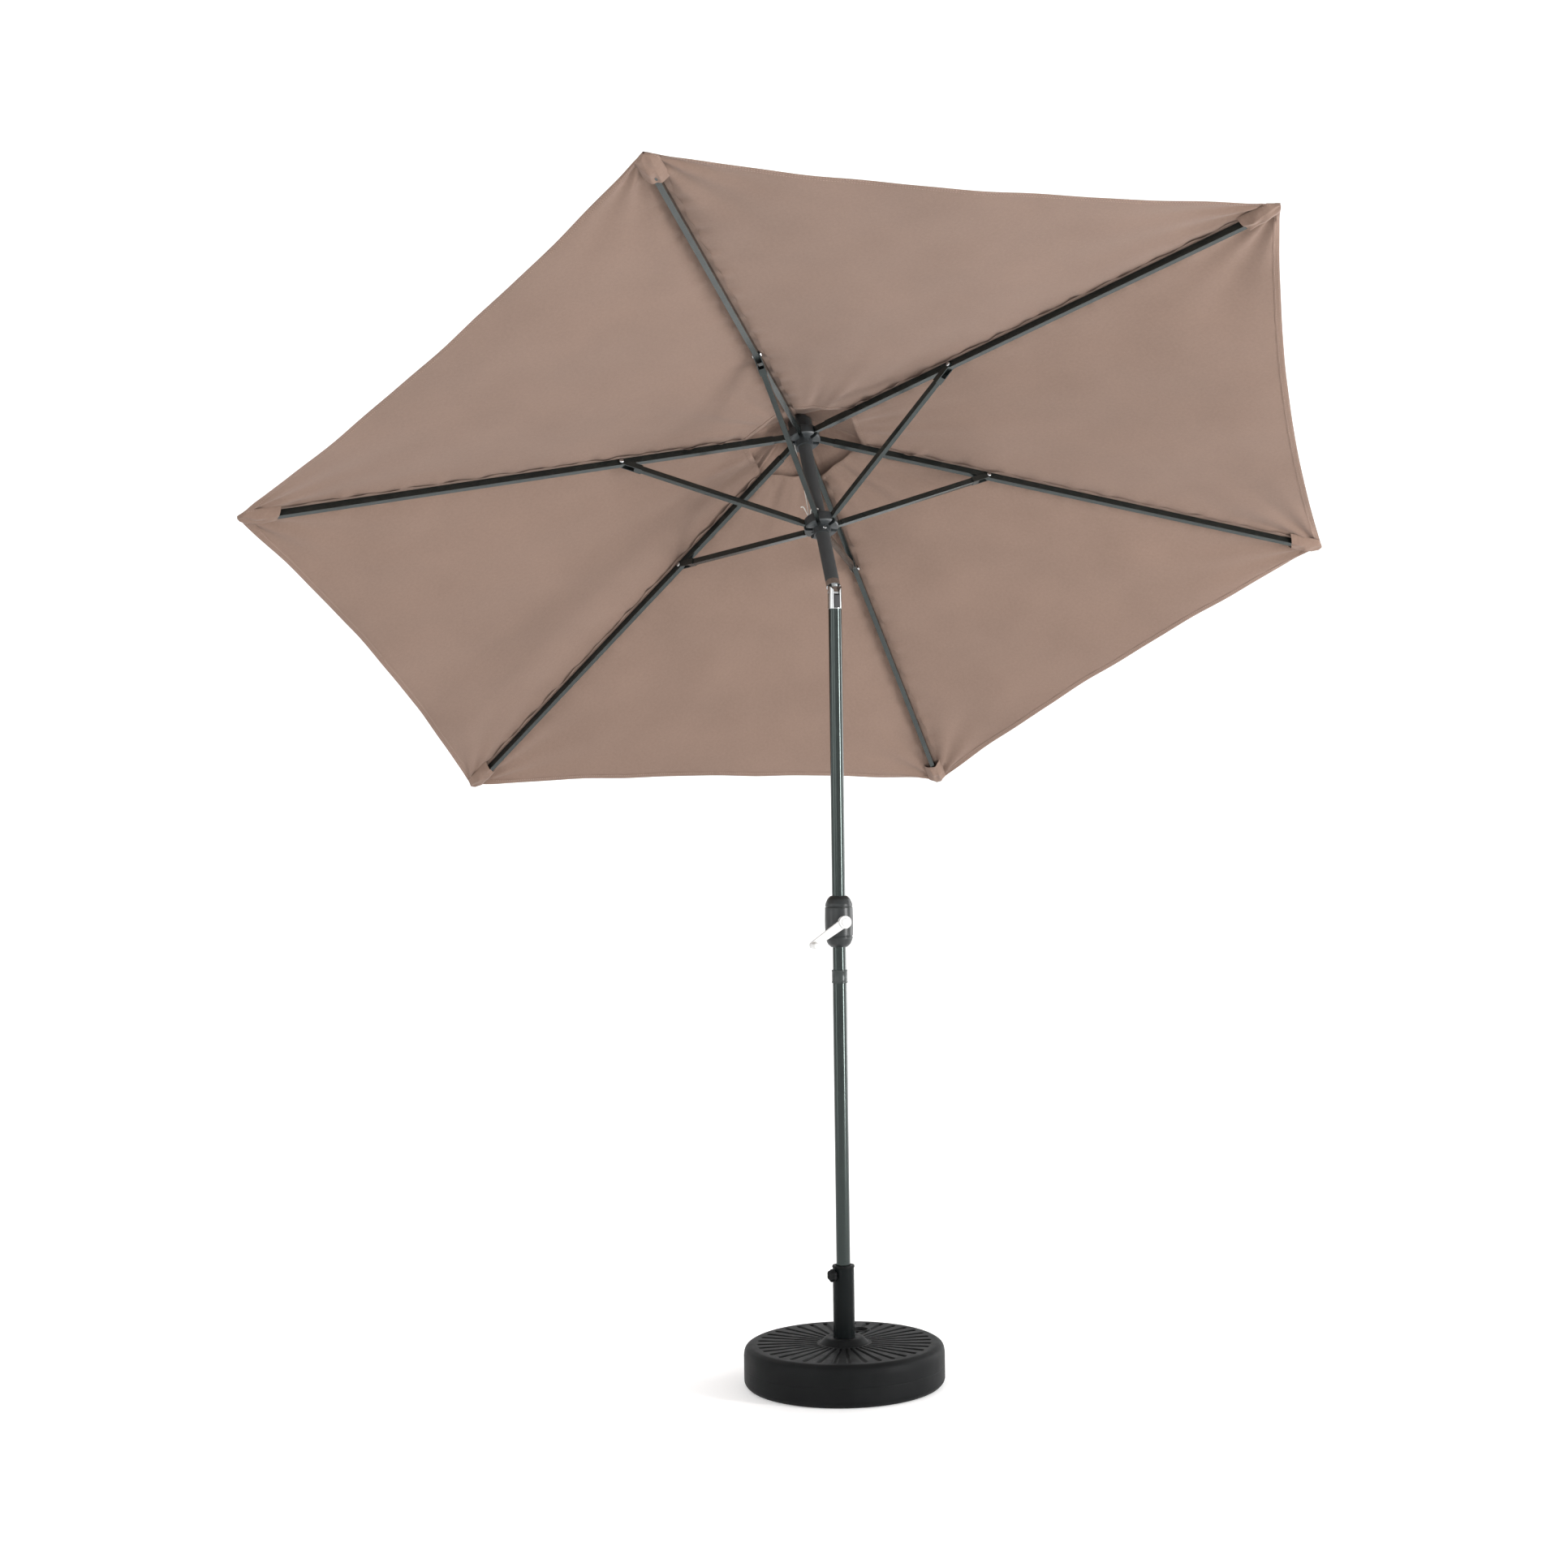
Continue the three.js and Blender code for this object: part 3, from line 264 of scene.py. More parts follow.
def softened(name, node, material, width=0.001, segments=3, angle=35, pinch=None):
    """A copy of a rigid node with its flat faces merged and its edges rounded by a bevel. A pinch is a
    place, a length, a span and a share: past the length less the span, the bar's height falls to that share."""
    source = bpy.data.objects[node]
    mesh = source.data.copy()
    mesh.name = name
    work = bmesh.new()
    work.from_mesh(mesh)
    bmesh.ops.remove_doubles(work, verts=work.verts, dist=2e-6)
    bmesh.ops.dissolve_limit(work, angle_limit=math.radians(1.0), verts=work.verts, edges=work.edges)
    if pinch is not None:
        place, length, span, share, top = pinch
        back = np.linalg.inv(place)
        plane = moved(np.array([length - span, 0, 0]), place)
        bmesh.ops.bisect_plane(work, geom=work.verts[:] + work.edges[:] + work.faces[:], plane_co=plane, plane_no=place[:3, 0])
        for vertex in work.verts:
            x, y, z = moved(np.array(vertex.co), back)
            fall = min(max((x - length + span) / span, 0.0), 1.0)
            z = top + (z - top) * (1 - (1 - share) * fall)
            vertex.co = moved(np.array([x, y, z]), place)
    work.to_mesh(mesh)
    work.free()
    mesh.materials.clear()
    mesh.materials.append(material)
    obj = bpy.data.objects.new(name, mesh)
    bpy.context.scene.collection.objects.link(obj)
    bevel = obj.modifiers.new("edges", "BEVEL")
    bevel.width = width
    bevel.segments = segments
    bevel.limit_method = "ANGLE"
    bevel.angle_limit = math.radians(angle)
    bevel.harden_normals = True
    mesh.polygons.foreach_set("use_smooth", np.ones(len(mesh.polygons), bool))
    mesh.set_sharp_from_angle(angle=math.radians(angle))
    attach(obj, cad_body(node))
    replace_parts(obj, node)
    return obj


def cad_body(node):
    """The body that holds a node."""
    return next(body for body, nodes in frame["record"]["behaviour"]["bodies"].items() if node in nodes)


# %% [markdown]
# ## Finishes
# A real surface is never one flat value. Each finish has a slow change of tone and a bump of fine grain or weave; the
# cloth also has fine slubs in its colour. Colours are linear values.

# %% Finish helpers


def node_set(name):
    """A new material with its node tree, its shader and its output."""
    material = bpy.data.materials.new(name)
    material.use_nodes = True
    tree = material.node_tree
    return material, tree, tree.nodes["Principled BSDF"]


def noise(tree, coordinates, scale, detail=4.0, roughness=0.55):
    """A noise value at a scale in turns per metre."""
    node = tree.nodes.new("ShaderNodeTexNoise")
    node.inputs["Scale"].default_value = scale
    node.inputs["Detail"].default_value = detail
    node.inputs["Roughness"].default_value = roughness
    tree.links.new(coordinates, node.inputs["Vector"])
    return node.outputs["Fac"]


def ramp(tree, value, low, high, at=(0.3, 0.7)):
    """Carry a 0 to 1 value to a colour between two colours."""
    node = tree.nodes.new("ShaderNodeValToRGB")
    node.color_ramp.elements[0].position, node.color_ramp.elements[1].position = at
    node.color_ramp.elements[0].color = (*low, 1)
    node.color_ramp.elements[1].color = (*high, 1)
    tree.links.new(value, node.inputs["Fac"])
    return node.outputs["Color"]


def spread(tree, value, low, high):
    """Carry a 0 to 1 value to a number between two numbers."""
    node = tree.nodes.new("ShaderNodeMapRange")
    node.inputs["From Min"].default_value = 0.3
    node.inputs["From Max"].default_value = 0.7
    node.inputs["To Min"].default_value = low
    node.inputs["To Max"].default_value = high
    tree.links.new(value, node.inputs["Value"])
    return node.outputs["Result"]


def bump(tree, value, strength, distance, after=None):
    """Raise and sink a surface by a value, over a distance in metres."""
    node = tree.nodes.new("ShaderNodeBump")
    node.inputs["Strength"].default_value = strength
    node.inputs["Distance"].default_value = distance
    tree.links.new(value, node.inputs["Height"])
    if after is not None:
        tree.links.new(after, node.inputs["Normal"])
    return node.outputs["Normal"]


def tinted(colour, share):
    """A colour made lighter or darker by a share."""
    return tuple(c * share for c in colour)


def hard_finish(name, colour, rough, metal, grain, grain_depth, tone=0.12, coat=0.0, specular=0.5, relief=0.35, patchy=0.08):
    """A moulded or coated surface: slow tone change in colour, patchy gloss and a fine-grain bump."""
    material, tree, shader = node_set(name)
    place = tree.nodes.new("ShaderNodeTexCoord").outputs["Object"]
    slow = noise(tree, place, 9.0, 3.0)
    fine = noise(tree, place, grain, 3.0)
    tree.links.new(ramp(tree, slow, tinted(colour, 1 - tone), tinted(colour, 1 + tone)), shader.inputs["Base Color"])
    tree.links.new(spread(tree, noise(tree, place, grain * 0.02, 3.0), rough * (1 - patchy), rough * (1 + patchy)), shader.inputs["Roughness"])
    tree.links.new(bump(tree, fine, relief, grain_depth), shader.inputs["Normal"])
    shader.inputs["Metallic"].default_value = metal
    shader.inputs["Coat Weight"].default_value = coat
    shader.inputs["Coat Roughness"].default_value = 0.12
    shader.inputs["Specular IOR Level"].default_value = specular
    return material


def cloth_finish(name, colour, light, weave=400.0, depth=0.00012):
    """Woven polyester on a lay map in metres: two crossed sets of threads, slubs and a soft sheen."""
    material, tree, shader = node_set(name)
    lay = tree.nodes.new("ShaderNodeUVMap")
    lay.uv_map = "lay"
    place = tree.nodes.new("ShaderNodeTexCoord").outputs["Object"]
    heights = []
    for axis in ("X", "Y"):
        threads = tree.nodes.new("ShaderNodeTexWave")
        threads.wave_type = "BANDS"
        threads.bands_direction = axis
        threads.inputs["Scale"].default_value = weave
        threads.inputs["Distortion"].default_value = 0.6
        threads.inputs["Detail"].default_value = 1.0
        tree.links.new(lay.outputs["UV"], threads.inputs["Vector"])
        heights.append(threads.outputs["Fac"])
    both = tree.nodes.new("ShaderNodeMath")
    both.operation = "MULTIPLY"
    tree.links.new(heights[0], both.inputs[0])
    tree.links.new(heights[1], both.inputs[1])
    slubs = noise(tree, lay.outputs["UV"], 140.0, 5.0, 0.7)
    tone = noise(tree, place, 5.0, 4.0)
    mix = tree.nodes.new("ShaderNodeMix")
    mix.data_type = "RGBA"
    mix.inputs["Factor"].default_value = 0.35
    tree.links.new(ramp(tree, tone, colour, light), mix.inputs["A"])
    tree.links.new(ramp(tree, slubs, tinted(colour, 0.86), tinted(light, 1.1)), mix.inputs["B"])
    tree.links.new(mix.outputs["Result"], shader.inputs["Base Color"])
    first = bump(tree, both.outputs[0], 0.5, depth)
    tree.links.new(bump(tree, noise(tree, place, 34.0, 4.0), 0.35, 0.0012, first), shader.inputs["Normal"])
    shader.inputs["Roughness"].default_value = 0.88
    shader.inputs["Sheen Weight"].default_value = 0.08
    shader.inputs["Sheen Roughness"].default_value = 0.5
    shader.inputs["Specular IOR Level"].default_value = 0.15
    return material


# %% The finishes
FABRIC_DARK, FABRIC_LIGHT = (0.166, 0.112, 0.087), (0.194, 0.131, 0.102)
FABRIC = cloth_finish("taupe_polyester", FABRIC_DARK, FABRIC_LIGHT)
SEAM_FABRIC = cloth_finish("taupe_hem", tinted(FABRIC_DARK, 1.0), tinted(FABRIC_LIGHT, 1.03))
# The vent cap is the same polyester as the canopy; its colour is painted about a quarter lighter to make up for the
# shade it sits in.
CAP_FABRIC_PAINTED_LIGHT = cloth_finish("taupe_vent_cap_painted_light", tinted(FABRIC_DARK, 1.22), tinted(FABRIC_LIGHT, 1.26))
THREAD = cloth_finish("sewing_thread", (0.36, 0.27, 0.23), (0.42, 0.32, 0.27), 900.0, 0.00008)
CORD = cloth_finish("white_cord", (0.74, 0.73, 0.70), (0.86, 0.85, 0.82), 700.0, 0.0003)
RIB_COAT = hard_finish("rib_coat", (0.030, 0.037, 0.036), 0.24, 0.70, 2600.0, 0.000004, coat=0.35, specular=0.35, relief=0.1)
MAST_COAT = hard_finish("mast_coat", (0.032, 0.040, 0.038), 0.16, 0.9, 2600.0, 0.000003, tone=0.05, coat=0.2, specular=0.35, relief=0.04, patchy=0.03)
MAST_MATTE = hard_finish("matte_mast_coat", (0.038, 0.040, 0.041), 0.62, 0.0, 1100.0, 0.00006, specular=0.2)
HUB_PLASTIC = hard_finish("hub_plastic", (0.028, 0.032, 0.034), 0.36, 0.0, 800.0, 0.00006, specular=0.4)
CRANK_PLASTIC = hard_finish("crank_plastic", (0.017, 0.0195, 0.020), 0.34, 0.0, 900.0, 0.00006, specular=0.35)
COLLAR_PLASTIC = hard_finish("collar_plastic", (0.030, 0.036, 0.035), 0.28, 0.3, 700.0, 0.00004, specular=0.4)
WHITE_PLASTIC = hard_finish("white_plastic", (0.58, 0.58, 0.57), 0.28, 0.0, 500.0, 0.00003, tone=0.03, coat=0.2)
BASE_PLASTIC = hard_finish("base_plastic", (0.0075, 0.0080, 0.0083), 0.50, 0.0, 1400.0, 0.00010, tone=0.18, specular=0.06)
TUBE_COAT = hard_finish("tube_coat", (0.0055, 0.0070, 0.0072), 0.24, 0.0, 2600.0, 0.000006, coat=0.0, specular=0.07)
BRIGHT = hard_finish("bright_plating", (0.40, 0.41, 0.41), 0.24, 1.0, 600.0, 0.00002, tone=0.08)
STEEL = hard_finish("zinc_steel", (0.60, 0.61, 0.62), 0.28, 1.0, 900.0, 0.00003)
BUTTON_PLASTIC = hard_finish("button_plastic", (0.015, 0.015, 0.017), 0.45, 0.0, 900.0, 0.00006)
SAND = hard_finish("dry_sand", (0.42, 0.33, 0.21), 0.95, 0.0, 260.0, 0.0008, tone=0.3)
print("finishes:", len(bpy.data.materials))

# %% [markdown]
# ## Floor and light
# A pale sweep and large soft lights, as for a catalogue picture. The sky lights the
# underside of the canopy by way of the floor.

# %% Floor and light
sweep = smooth_path([(0, 0), (3, 0), (6, 0), (8.5, 0), (10, 0.12), (11.2, 0.8), (11.9, 2.2), (12.1, 5), (12.1, 9), (12.1, 14)], 60)
floor_points = turned_points(np.maximum(sweep, 0), 72)
floor_mesh = bpy.data.meshes.new("floor")
floor_faces = grid_faces(len(sweep), 72, wrap_columns=True)
floor_mesh.from_pydata(floor_points.reshape(-1, 3).tolist(), [], floor_faces.tolist())
floor_work = bmesh.new()
floor_work.from_mesh(floor_mesh)
bmesh.ops.remove_doubles(floor_work, verts=floor_work.verts, dist=1e-5)
floor_work.to_mesh(floor_mesh)
floor_work.free()
floor_mesh.polygons.foreach_set("use_smooth", np.ones(len(floor_mesh.polygons), bool))
floor = bpy.data.objects.new("floor", floor_mesh)
bpy.context.scene.collection.objects.link(floor)
floor_finish = hard_finish("pale_floor", (0.93, 0.93, 0.93), 0.9, 0.0, 30.0, 0.0, tone=0.01, specular=0.1)
floor_shader = floor_finish.node_tree.nodes["Principled BSDF"]
floor_shader.inputs["Emission Color"].default_value = (1, 1, 1, 1)
floor_shader.inputs["Emission Strength"].default_value = 0.26
floor_mesh.materials.append(floor_finish)

world = bpy.data.worlds.new("sky")
bpy.context.scene.world = world
world.use_nodes = True
world.node_tree.nodes["Background"].inputs["Color"].default_value = (1, 1, 1, 1)
world.node_tree.nodes["Background"].inputs["Strength"].default_value = 0.40


def lamp(name, place, aim, size, power):
    """A square area light that faces a point."""
    data = bpy.data.lights.new(name, "AREA")
    data.shape = "RECTANGLE"
    data.size, data.size_y = size
    data.energy = power
    obj = bpy.data.objects.new(name, data)
    bpy.context.scene.collection.objects.link(obj)
    obj.location = place
    obj.rotation_euler = (Vector(aim) - Vector(place)).to_track_quat("-Z", "Y").to_euler()


lamp("key", (3.7, -3.9, 1.25), (0, 0, 1.5), (0.8, 3.0), 290)
lamp("fill", (-4.6, -4.6, 2.6), (0, 0, 1.6), (2.4, 3.0), 45)
lamp("side_left", (-4.4, -0.5, 1.3), (0, 0, 1.2), (0.9, 3.0), 30)
lamp("side_right", (4.6, 0.9, 1.3), (0, 0, 1.2), (2.2, 3.2), 95)
lamp("floor_wash", (0.4, 2.5, 5.6), (0, 2.5, 0), (6.0, 6.0), 115)

# %% [markdown]
# ## The lift cord
# A thin white cord runs from the crank spool up inside the masts, over a pulley in
# the crown and down outside the mast to the runner. The inside stretches follow the
# rigid model's own route. The outside stretch is one fixed piece carried by the head.

# %% Cord
head_cord = [
    (0, 0.0102, 0.018), (0, 0.0102, 0.083), (0, 0.006, 0.2), (0, 0.001, 0.40), (0, 0, 0.456), (0, 0, 0.48),
]
half_turn = np.linspace(math.pi, 0, 13)
over = np.stack([0.012 + 0.012 * np.cos(half_turn), 0 * half_turn, CROWN_RISE + 0.034 + 0.012 * np.sin(half_turn)], -1)
over = over @ np.array(turn(CORD_AZIMUTH, "Z"))[:3, :3].T
cord_x, cord_y = CORD_REACH * math.cos(CORD_AZIMUTH), CORD_REACH * math.sin(CORD_AZIMUTH)
upper_route = np.vstack([head_cord, over, [(cord_x, cord_y, 0.476), (cord_x, cord_y, 0.452)]])
upper_cord = swept("lift_cord_upper_run", moved(smooth_path(upper_route, 160), HEAD), circle(CORD_RADIUS, 8), CORD, "head", up=(1, 0.2, 0))
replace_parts(upper_cord, "lift_cord_upper")
lower_route = [(0.01205, 0.002, 1.09), (0.01105, 0.002, 1.13), (0.004, 0.007, 1.5), (0, 0.0102, 1.77), (0, 0.0102, 1.85)]
lower_cord = swept("lift_cord_lower_run", smooth_path(lower_route, 60), circle(CORD_RADIUS, 8), CORD, "pole", up=(1, 0.2, 0))
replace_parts(lower_cord, "lift_cord_lower")
bend_route = [(0, 0.0102, -0.0174), (0, 0.0125, -0.006), (0, 0.0158, 0.003), (0, 0.01753, 0.0099)]
bend_cord = swept("lift_cord_bend_run", moved(smooth_path(bend_route, 20), KNUCKLE), circle(CORD_RADIUS, 8), CORD, "pole", up=(1, 0.2, 0))
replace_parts(bend_cord, "lift_cord_bend")
coil_turns = np.linspace(0, 6 * TAU, 200)
coil = np.stack([0.0118 * np.cos(coil_turns), 0.0118 * np.sin(coil_turns), -0.0062 + 0.0124 * coil_turns / coil_turns[-1]], -1) * [0.8, 0.8, 1]
coil_cord = swept("lift_cord_winding", moved(coil, placed(CRANK, FACING)), circle(CORD_RADIUS * 0.9, 8), CORD, "crank", up=(0, 1, 0))
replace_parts(coil_cord, "lift_cord_coil")
fall_path = np.array([(cord_x, cord_y, z) for z in np.linspace(0.4517, 0.208, 40)])
fall_path[:, 0] += 0.002 * np.sin(np.linspace(0, math.pi, 40))
fall_cord = swept("lift_cord_fall_run", moved(fall_path, HEAD), circle(CORD_RADIUS, 8), CORD, "head", up=(1, 0.2, 0))
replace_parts(fall_cord, "lift_cord_fall")

# The cord's end is knotted above the runner and leaves two short tails.
tail_routes = {
    "upper": [(-0.0208, 0.012, 0.017), (-0.0225, 0.010, 0.030), (-0.0290, 0.004, 0.041), (-0.0370, -0.004, 0.049), (-0.0445, -0.008, 0.046)],
    "lower": [(-0.0208, 0.012, 0.016), (-0.0215, 0.000, 0.023), (-0.0225, -0.011, 0.034), (-0.0180, -0.021, 0.036), (-0.0090, -0.027, 0.027)],
}
tails = {}
for label, route in tail_routes.items():
    path = moved(smooth_path(route, 40), RUNNER)
    tail = swept(f"cord_tail_{label}", path, circle(0.0015, 8), CORD, "slider", up=(0.3, 0.2, 1))
    length = float(np.linalg.norm(np.diff(path, axis=0), axis=1).sum())
    tails[label] = round(length, 4)
knot = turned("cord_knot", [(0, -0.0045), (0.003, -0.004), (0.0042, -0.001), (0.0036, 0.0015), (0.0044, 0.003), (0.0025, 0.0055), (0, 0.006)],
              CORD, "slider", placed(RUNNER, shift(-0.0208, 0.012, 0.024)), segments=24, round_by=0.001)
print("cord tails", tails)

# %% [markdown]
# ## Canopy cloth
# The canopy is a six-sided pyramid with a scalloped edge. One gore is made for each
# rib and reaches to the middle line of the panel on either side, so it can ride on
# its rib. Neighbours share the same panel formula, so they meet without a step.

# %% The canopy surface
VENT = 0.152
EDGE_SAG = 0.034
TIP = PIVOT + 1.365 * math.cos(DROOP)
RIDGE_LIFT = 0.0102 / math.cos(DROOP) + PIVOT * SLOPE
OUTER = TIP * math.cos(PANEL_HALF)
INNER = VENT * math.cos(PANEL_HALF)
wobble = np.random.default_rng(7)
PANEL_WAVES = wobble.uniform(0, TAU, (RIBS, 12))
SEAM_WAVES = wobble.uniform(0, TAU, (RIBS, 8))


def canopy(rib, q, w, below=0.0, calm=1.0):
    """Points of the canopy over one rib, in the crown's upright frame.

    q runs from the vent at 0 to the hem at 1, and w from one panel middle at -1 over the rib at 0
    to the next middle at 1. In a panel, `out` is the distance along its middle line and `aside` is
    the distance from it. The height falls evenly with `out`, less a soft sag between the ribs, and
    small waves stand for puckers along the rib seam, pulls from the rib tips and slack cloth.
    """
    q, w = np.broadcast_arrays(np.asarray(q, float), np.asarray(w, float))
    across = np.tan(PANEL_HALF * (1 - np.abs(w))) / math.tan(PANEL_HALF)
    edge = OUTER - EDGE_SAG * (1 - across**2)
    out = INNER + (edge - INNER) * q
    aside = out * np.tan(PANEL_HALF * (1 - np.abs(w)))
    side = np.where(w >= 0, 1.0, -1.0)
    panel = np.where(w >= 0, rib, (rib - 1) % RIBS)
    signed = -side * aside
    turn_by = PANEL_HALF - np.arctan2(aside, out)
    radius = np.hypot(out, aside)
    from_rib = radius * np.sin(turn_by)
    along = radius * np.cos(turn_by)
    waves = PANEL_WAVES[panel]
    between = 1 - across**2
    sag = -0.007 * between * np.clip(q, 0, 1) ** 1.1 * (out / OUTER)
    slack = 0.0030 * np.sin(out * 9.0 + signed * 6.5 + waves[..., 0]) * np.sin(signed * 11.0 + waves[..., 1])
    slack += 0.0012 * np.sin(out * 23.0 - signed * 14.0 + waves[..., 2]) * np.sin(signed * 19.0 + out * 7.0 + waves[..., 3])
    seam = SEAM_WAVES[rib]
    ripple = np.sin(along * 82.0 + seam[0] + 1.3 * np.sin(along * 9.0 + seam[1]))
    ripple += 0.6 * np.sin(along * 143.0 + seam[2])
    pucker = 0.0020 * ripple * np.exp(-((from_rib / 0.034) ** 2)) * np.clip((from_rib - 0.0085) / 0.008, 0, 1)
    tip_out, tip_aside = TIP * math.cos(PANEL_HALF) - out, TIP * math.sin(PANEL_HALF) - np.abs(signed)
    from_tip = np.hypot(tip_out, tip_aside)
    tip_angle = np.arctan2(tip_aside, tip_out + 1e-6)
    pull = 0.0052 * across * np.sin(tip_angle * 17.0 + waves[..., 4] + seam[3]) * np.exp(-from_tip / 0.28) * np.clip(from_tip / 0.06, 0, 1)
    pull *= np.clip((from_rib - 0.0085) / 0.02, 0, 1)
    vent_pull = 0.0016 * np.sin(signed * 90.0 + waves[..., 5]) * np.exp(-(out - INNER) / 0.07) * between
    fan = np.arctan2(signed, out)
    folds = 0.0034 * np.sin(fan * 15.0 + waves[..., 6] + 1.2 * np.sin(out * 6.0 + waves[..., 7]))
    folds += 0.0011 * np.sin(fan * 37.0 + waves[..., 8] + out * 5.0)
    folds *= np.exp(-np.maximum(out - INNER, 0) / 0.22) * np.clip((out - INNER) / 0.06, 0.15, 1) * between
    lift = sag + calm * (slack * np.clip((from_rib - 0.0085) / 0.06, 0, 1) + pucker + pull + vent_pull + folds)
    height = RIDGE_LIFT - out * SLOPE / math.cos(PANEL_HALF) + lift + below
    points = np.stack([along, side * from_rib, height], -1)
    return points


def shell(name, rib, q, w, low, high, material, calm=1.0, uv_scale=1.0):
    """A closed sheet between two offsets from the canopy surface, with hard corners at its rims."""
    q_grid, w_grid = np.meshgrid(q, w, indexing="ij")
    top = canopy(rib, q_grid, w_grid, high, calm)
    bottom = canopy(rib, q_grid, w_grid, low, calm)
    rows, columns = top.shape[:2]
    lay = np.stack([top[..., 0], top[..., 1]], -1) * uv_scale
    count = rows * columns
    edge = np.concatenate([
        np.arange(columns), np.arange(1, rows) * columns + columns - 1,
        (rows - 1) * columns + np.arange(columns - 2, -1, -1), np.arange(rows - 2, 0, -1) * columns,
    ])
    after = np.roll(edge, -1)
    faces = np.concatenate([
        grid_faces(rows, columns)[:, ::-1], grid_faces(rows, columns, count),
        np.stack([edge, after, after + count, edge + count], -1),
    ])
    points = np.concatenate([top.reshape(-1, 3), bottom.reshape(-1, 3)])
    points = moved(points, placed(CROWN, turn(rib * TAU / RIBS, "Z")))
    piece = new_piece(name, points, faces, material, f"rib_arm_{rib + 1}",
                      uv=np.concatenate([lay.reshape(-1, 2)] * 2), smooth=50)
    return piece


CLOTH = 0.0007


def folding(piece):
    """Give a piece of cloth its own copy of its mesh."""
    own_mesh(piece)


# %% [markdown]
# A hem is the cloth's edge turned under twice and sewn. It is a flat loop that wraps
# the edge from above to below. Its two rows of stitches are short raised dashes.

# %% Gores, hems, bindings and stitches


def band(name, rib, edge_q, inward, width, material, thick=0.0013):
    """A turned edge: a flat loop carried along the hem or the vent, wrapping the gore's edge."""
    w = np.linspace(-1, 1, 161)
    length = OUTER - INNER
    steps = np.array([width, width * 0.5, 0.002, -0.0010, 0.002, width * 0.5, width])
    offsets = np.array([CLOTH / 2 + thick * 0.5, CLOTH / 2 + thick * 0.75, CLOTH / 2 + thick * 0.6, 0.0,
                        -CLOTH / 2 - thick * 0.7, -CLOTH / 2 - thick, -CLOTH / 2 - thick * 0.8])
    rows = []
    for step, offset in zip(steps, offsets):
        wave = 1 + 0.35 * np.sin(w * 55 + rib) * (abs(step) > width * 0.8)
        rows.append(canopy(rib, edge_q + inward * step / length, w, offset * wave))
    points = np.stack(rows, 1)
    faces = list(grid_faces(len(w), len(steps), wrap_columns=True))
    faces.append(np.arange(len(steps)))
    faces.append(np.arange(len(steps))[::-1] + (len(w) - 1) * len(steps))
    lay = np.stack(np.broadcast_arrays(w[:, None] * 0.65, np.cumsum(np.abs(steps))[None, :]), -1)
    points = moved(points, placed(CROWN, turn(rib * TAU / RIBS, "Z")))
    return new_piece(name, points, faces, material, f"rib_arm_{rib + 1}", uv=lay, smooth=60)


def dashes(name, lines, normals, rib, long=0.0042, high=0.0006, wide=0.0009, gap=0.0018):
    """Short raised stitches along each line of points, as low four-sided tents."""
    points, faces = [], []
    for path, up in zip(lines, normals):
        step = np.linalg.norm(np.diff(path, axis=0), axis=1)
        at = np.concatenate([[0], np.cumsum(step)])
        starts = np.arange(0, at[-1] - long, long + gap)
        ends = starts + long
        a = np.stack([np.interp(starts, at, path[:, k]) for k in range(3)], -1)
        b = np.stack([np.interp(ends, at, path[:, k]) for k in range(3)], -1)
        ahead = (b - a) / long
        beside = np.cross(ahead, up)
        beside /= np.linalg.norm(beside, axis=1, keepdims=True)
        top = (a + b) / 2
        base = np.stack([a, top + beside * wide / 2, b, top - beside * wide / 2, top + up * high, top - up * high], 1)
        first = len(points) * 6 if not points else sum(len(p) for p in points) * 6
        points.append(base)
        corner = np.arange(len(base))[:, None] * 6 + first
        for k in range(4):
            n = (k + 1) % 4
            faces.extend(np.concatenate([corner + k, corner + n, corner + 4], 1))
            faces.extend(np.concatenate([corner + n, corner + k, corner + 5], 1))
    points = np.concatenate([p.reshape(-1, 3) for p in points])
    return new_piece(name, points, faces, THREAD, f"rib_arm_{rib + 1}",
                     uv=points[:, :2], smooth=80, fix=True)


HEM = 0.014
gore_q = np.concatenate([np.linspace(0, 0.06, 12)[:-1], np.linspace(0.06, 0.94, 118), np.linspace(0.94, 1, 14)[1:]])
gore_w = np.concatenate([-(np.linspace(1, 0, 62) ** 1.25), (np.linspace(0, 1, 62) ** 1.25)[1:]])
gores = []
for rib in range(RIBS):
    gore = shell(f"canopy_cloth_{rib + 1}", rib, gore_q, gore_w, -CLOTH / 2, CLOTH / 2, FABRIC)
    hem = band(f"canopy_hem_{rib + 1}", rib, 1.0, -1.0, HEM, SEAM_FABRIC, 0.0009)
    binding = band(f"vent_binding_{rib + 1}", rib, 0.0, 1.0, 0.012, SEAM_FABRIC)
    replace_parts(gore, f"canopy_gore_{rib + 1}")
    place = placed(CROWN, turn(rib * TAU / RIBS, "Z"))
    w_line = np.linspace(-0.985, 0.985, 220)
    rows, ups = [], []
    for step in (0.003, HEM - 0.003):
        for height in (-CLOTH / 2 - 0.0009, CLOTH / 2 + 0.0008):
            rows.append(moved(canopy(rib, 1 - step / (OUTER - INNER), w_line, height), place))
            ups.append(place[:3, 2])
    stitches = dashes(f"hem_stitches_{rib + 1}", rows, ups, rib)
    gores.append((gore, [hem, binding, stitches]))
    for piece in (gore, hem, binding, stitches):
        folding(piece)

# %% [markdown]
# Along each rib the two panels are joined by a seam whose spare cloth hangs inside
# as a narrow wavy flap on either side. At the rib's end a sewn pocket holds the tip.

# %% Seam flaps and corner pockets


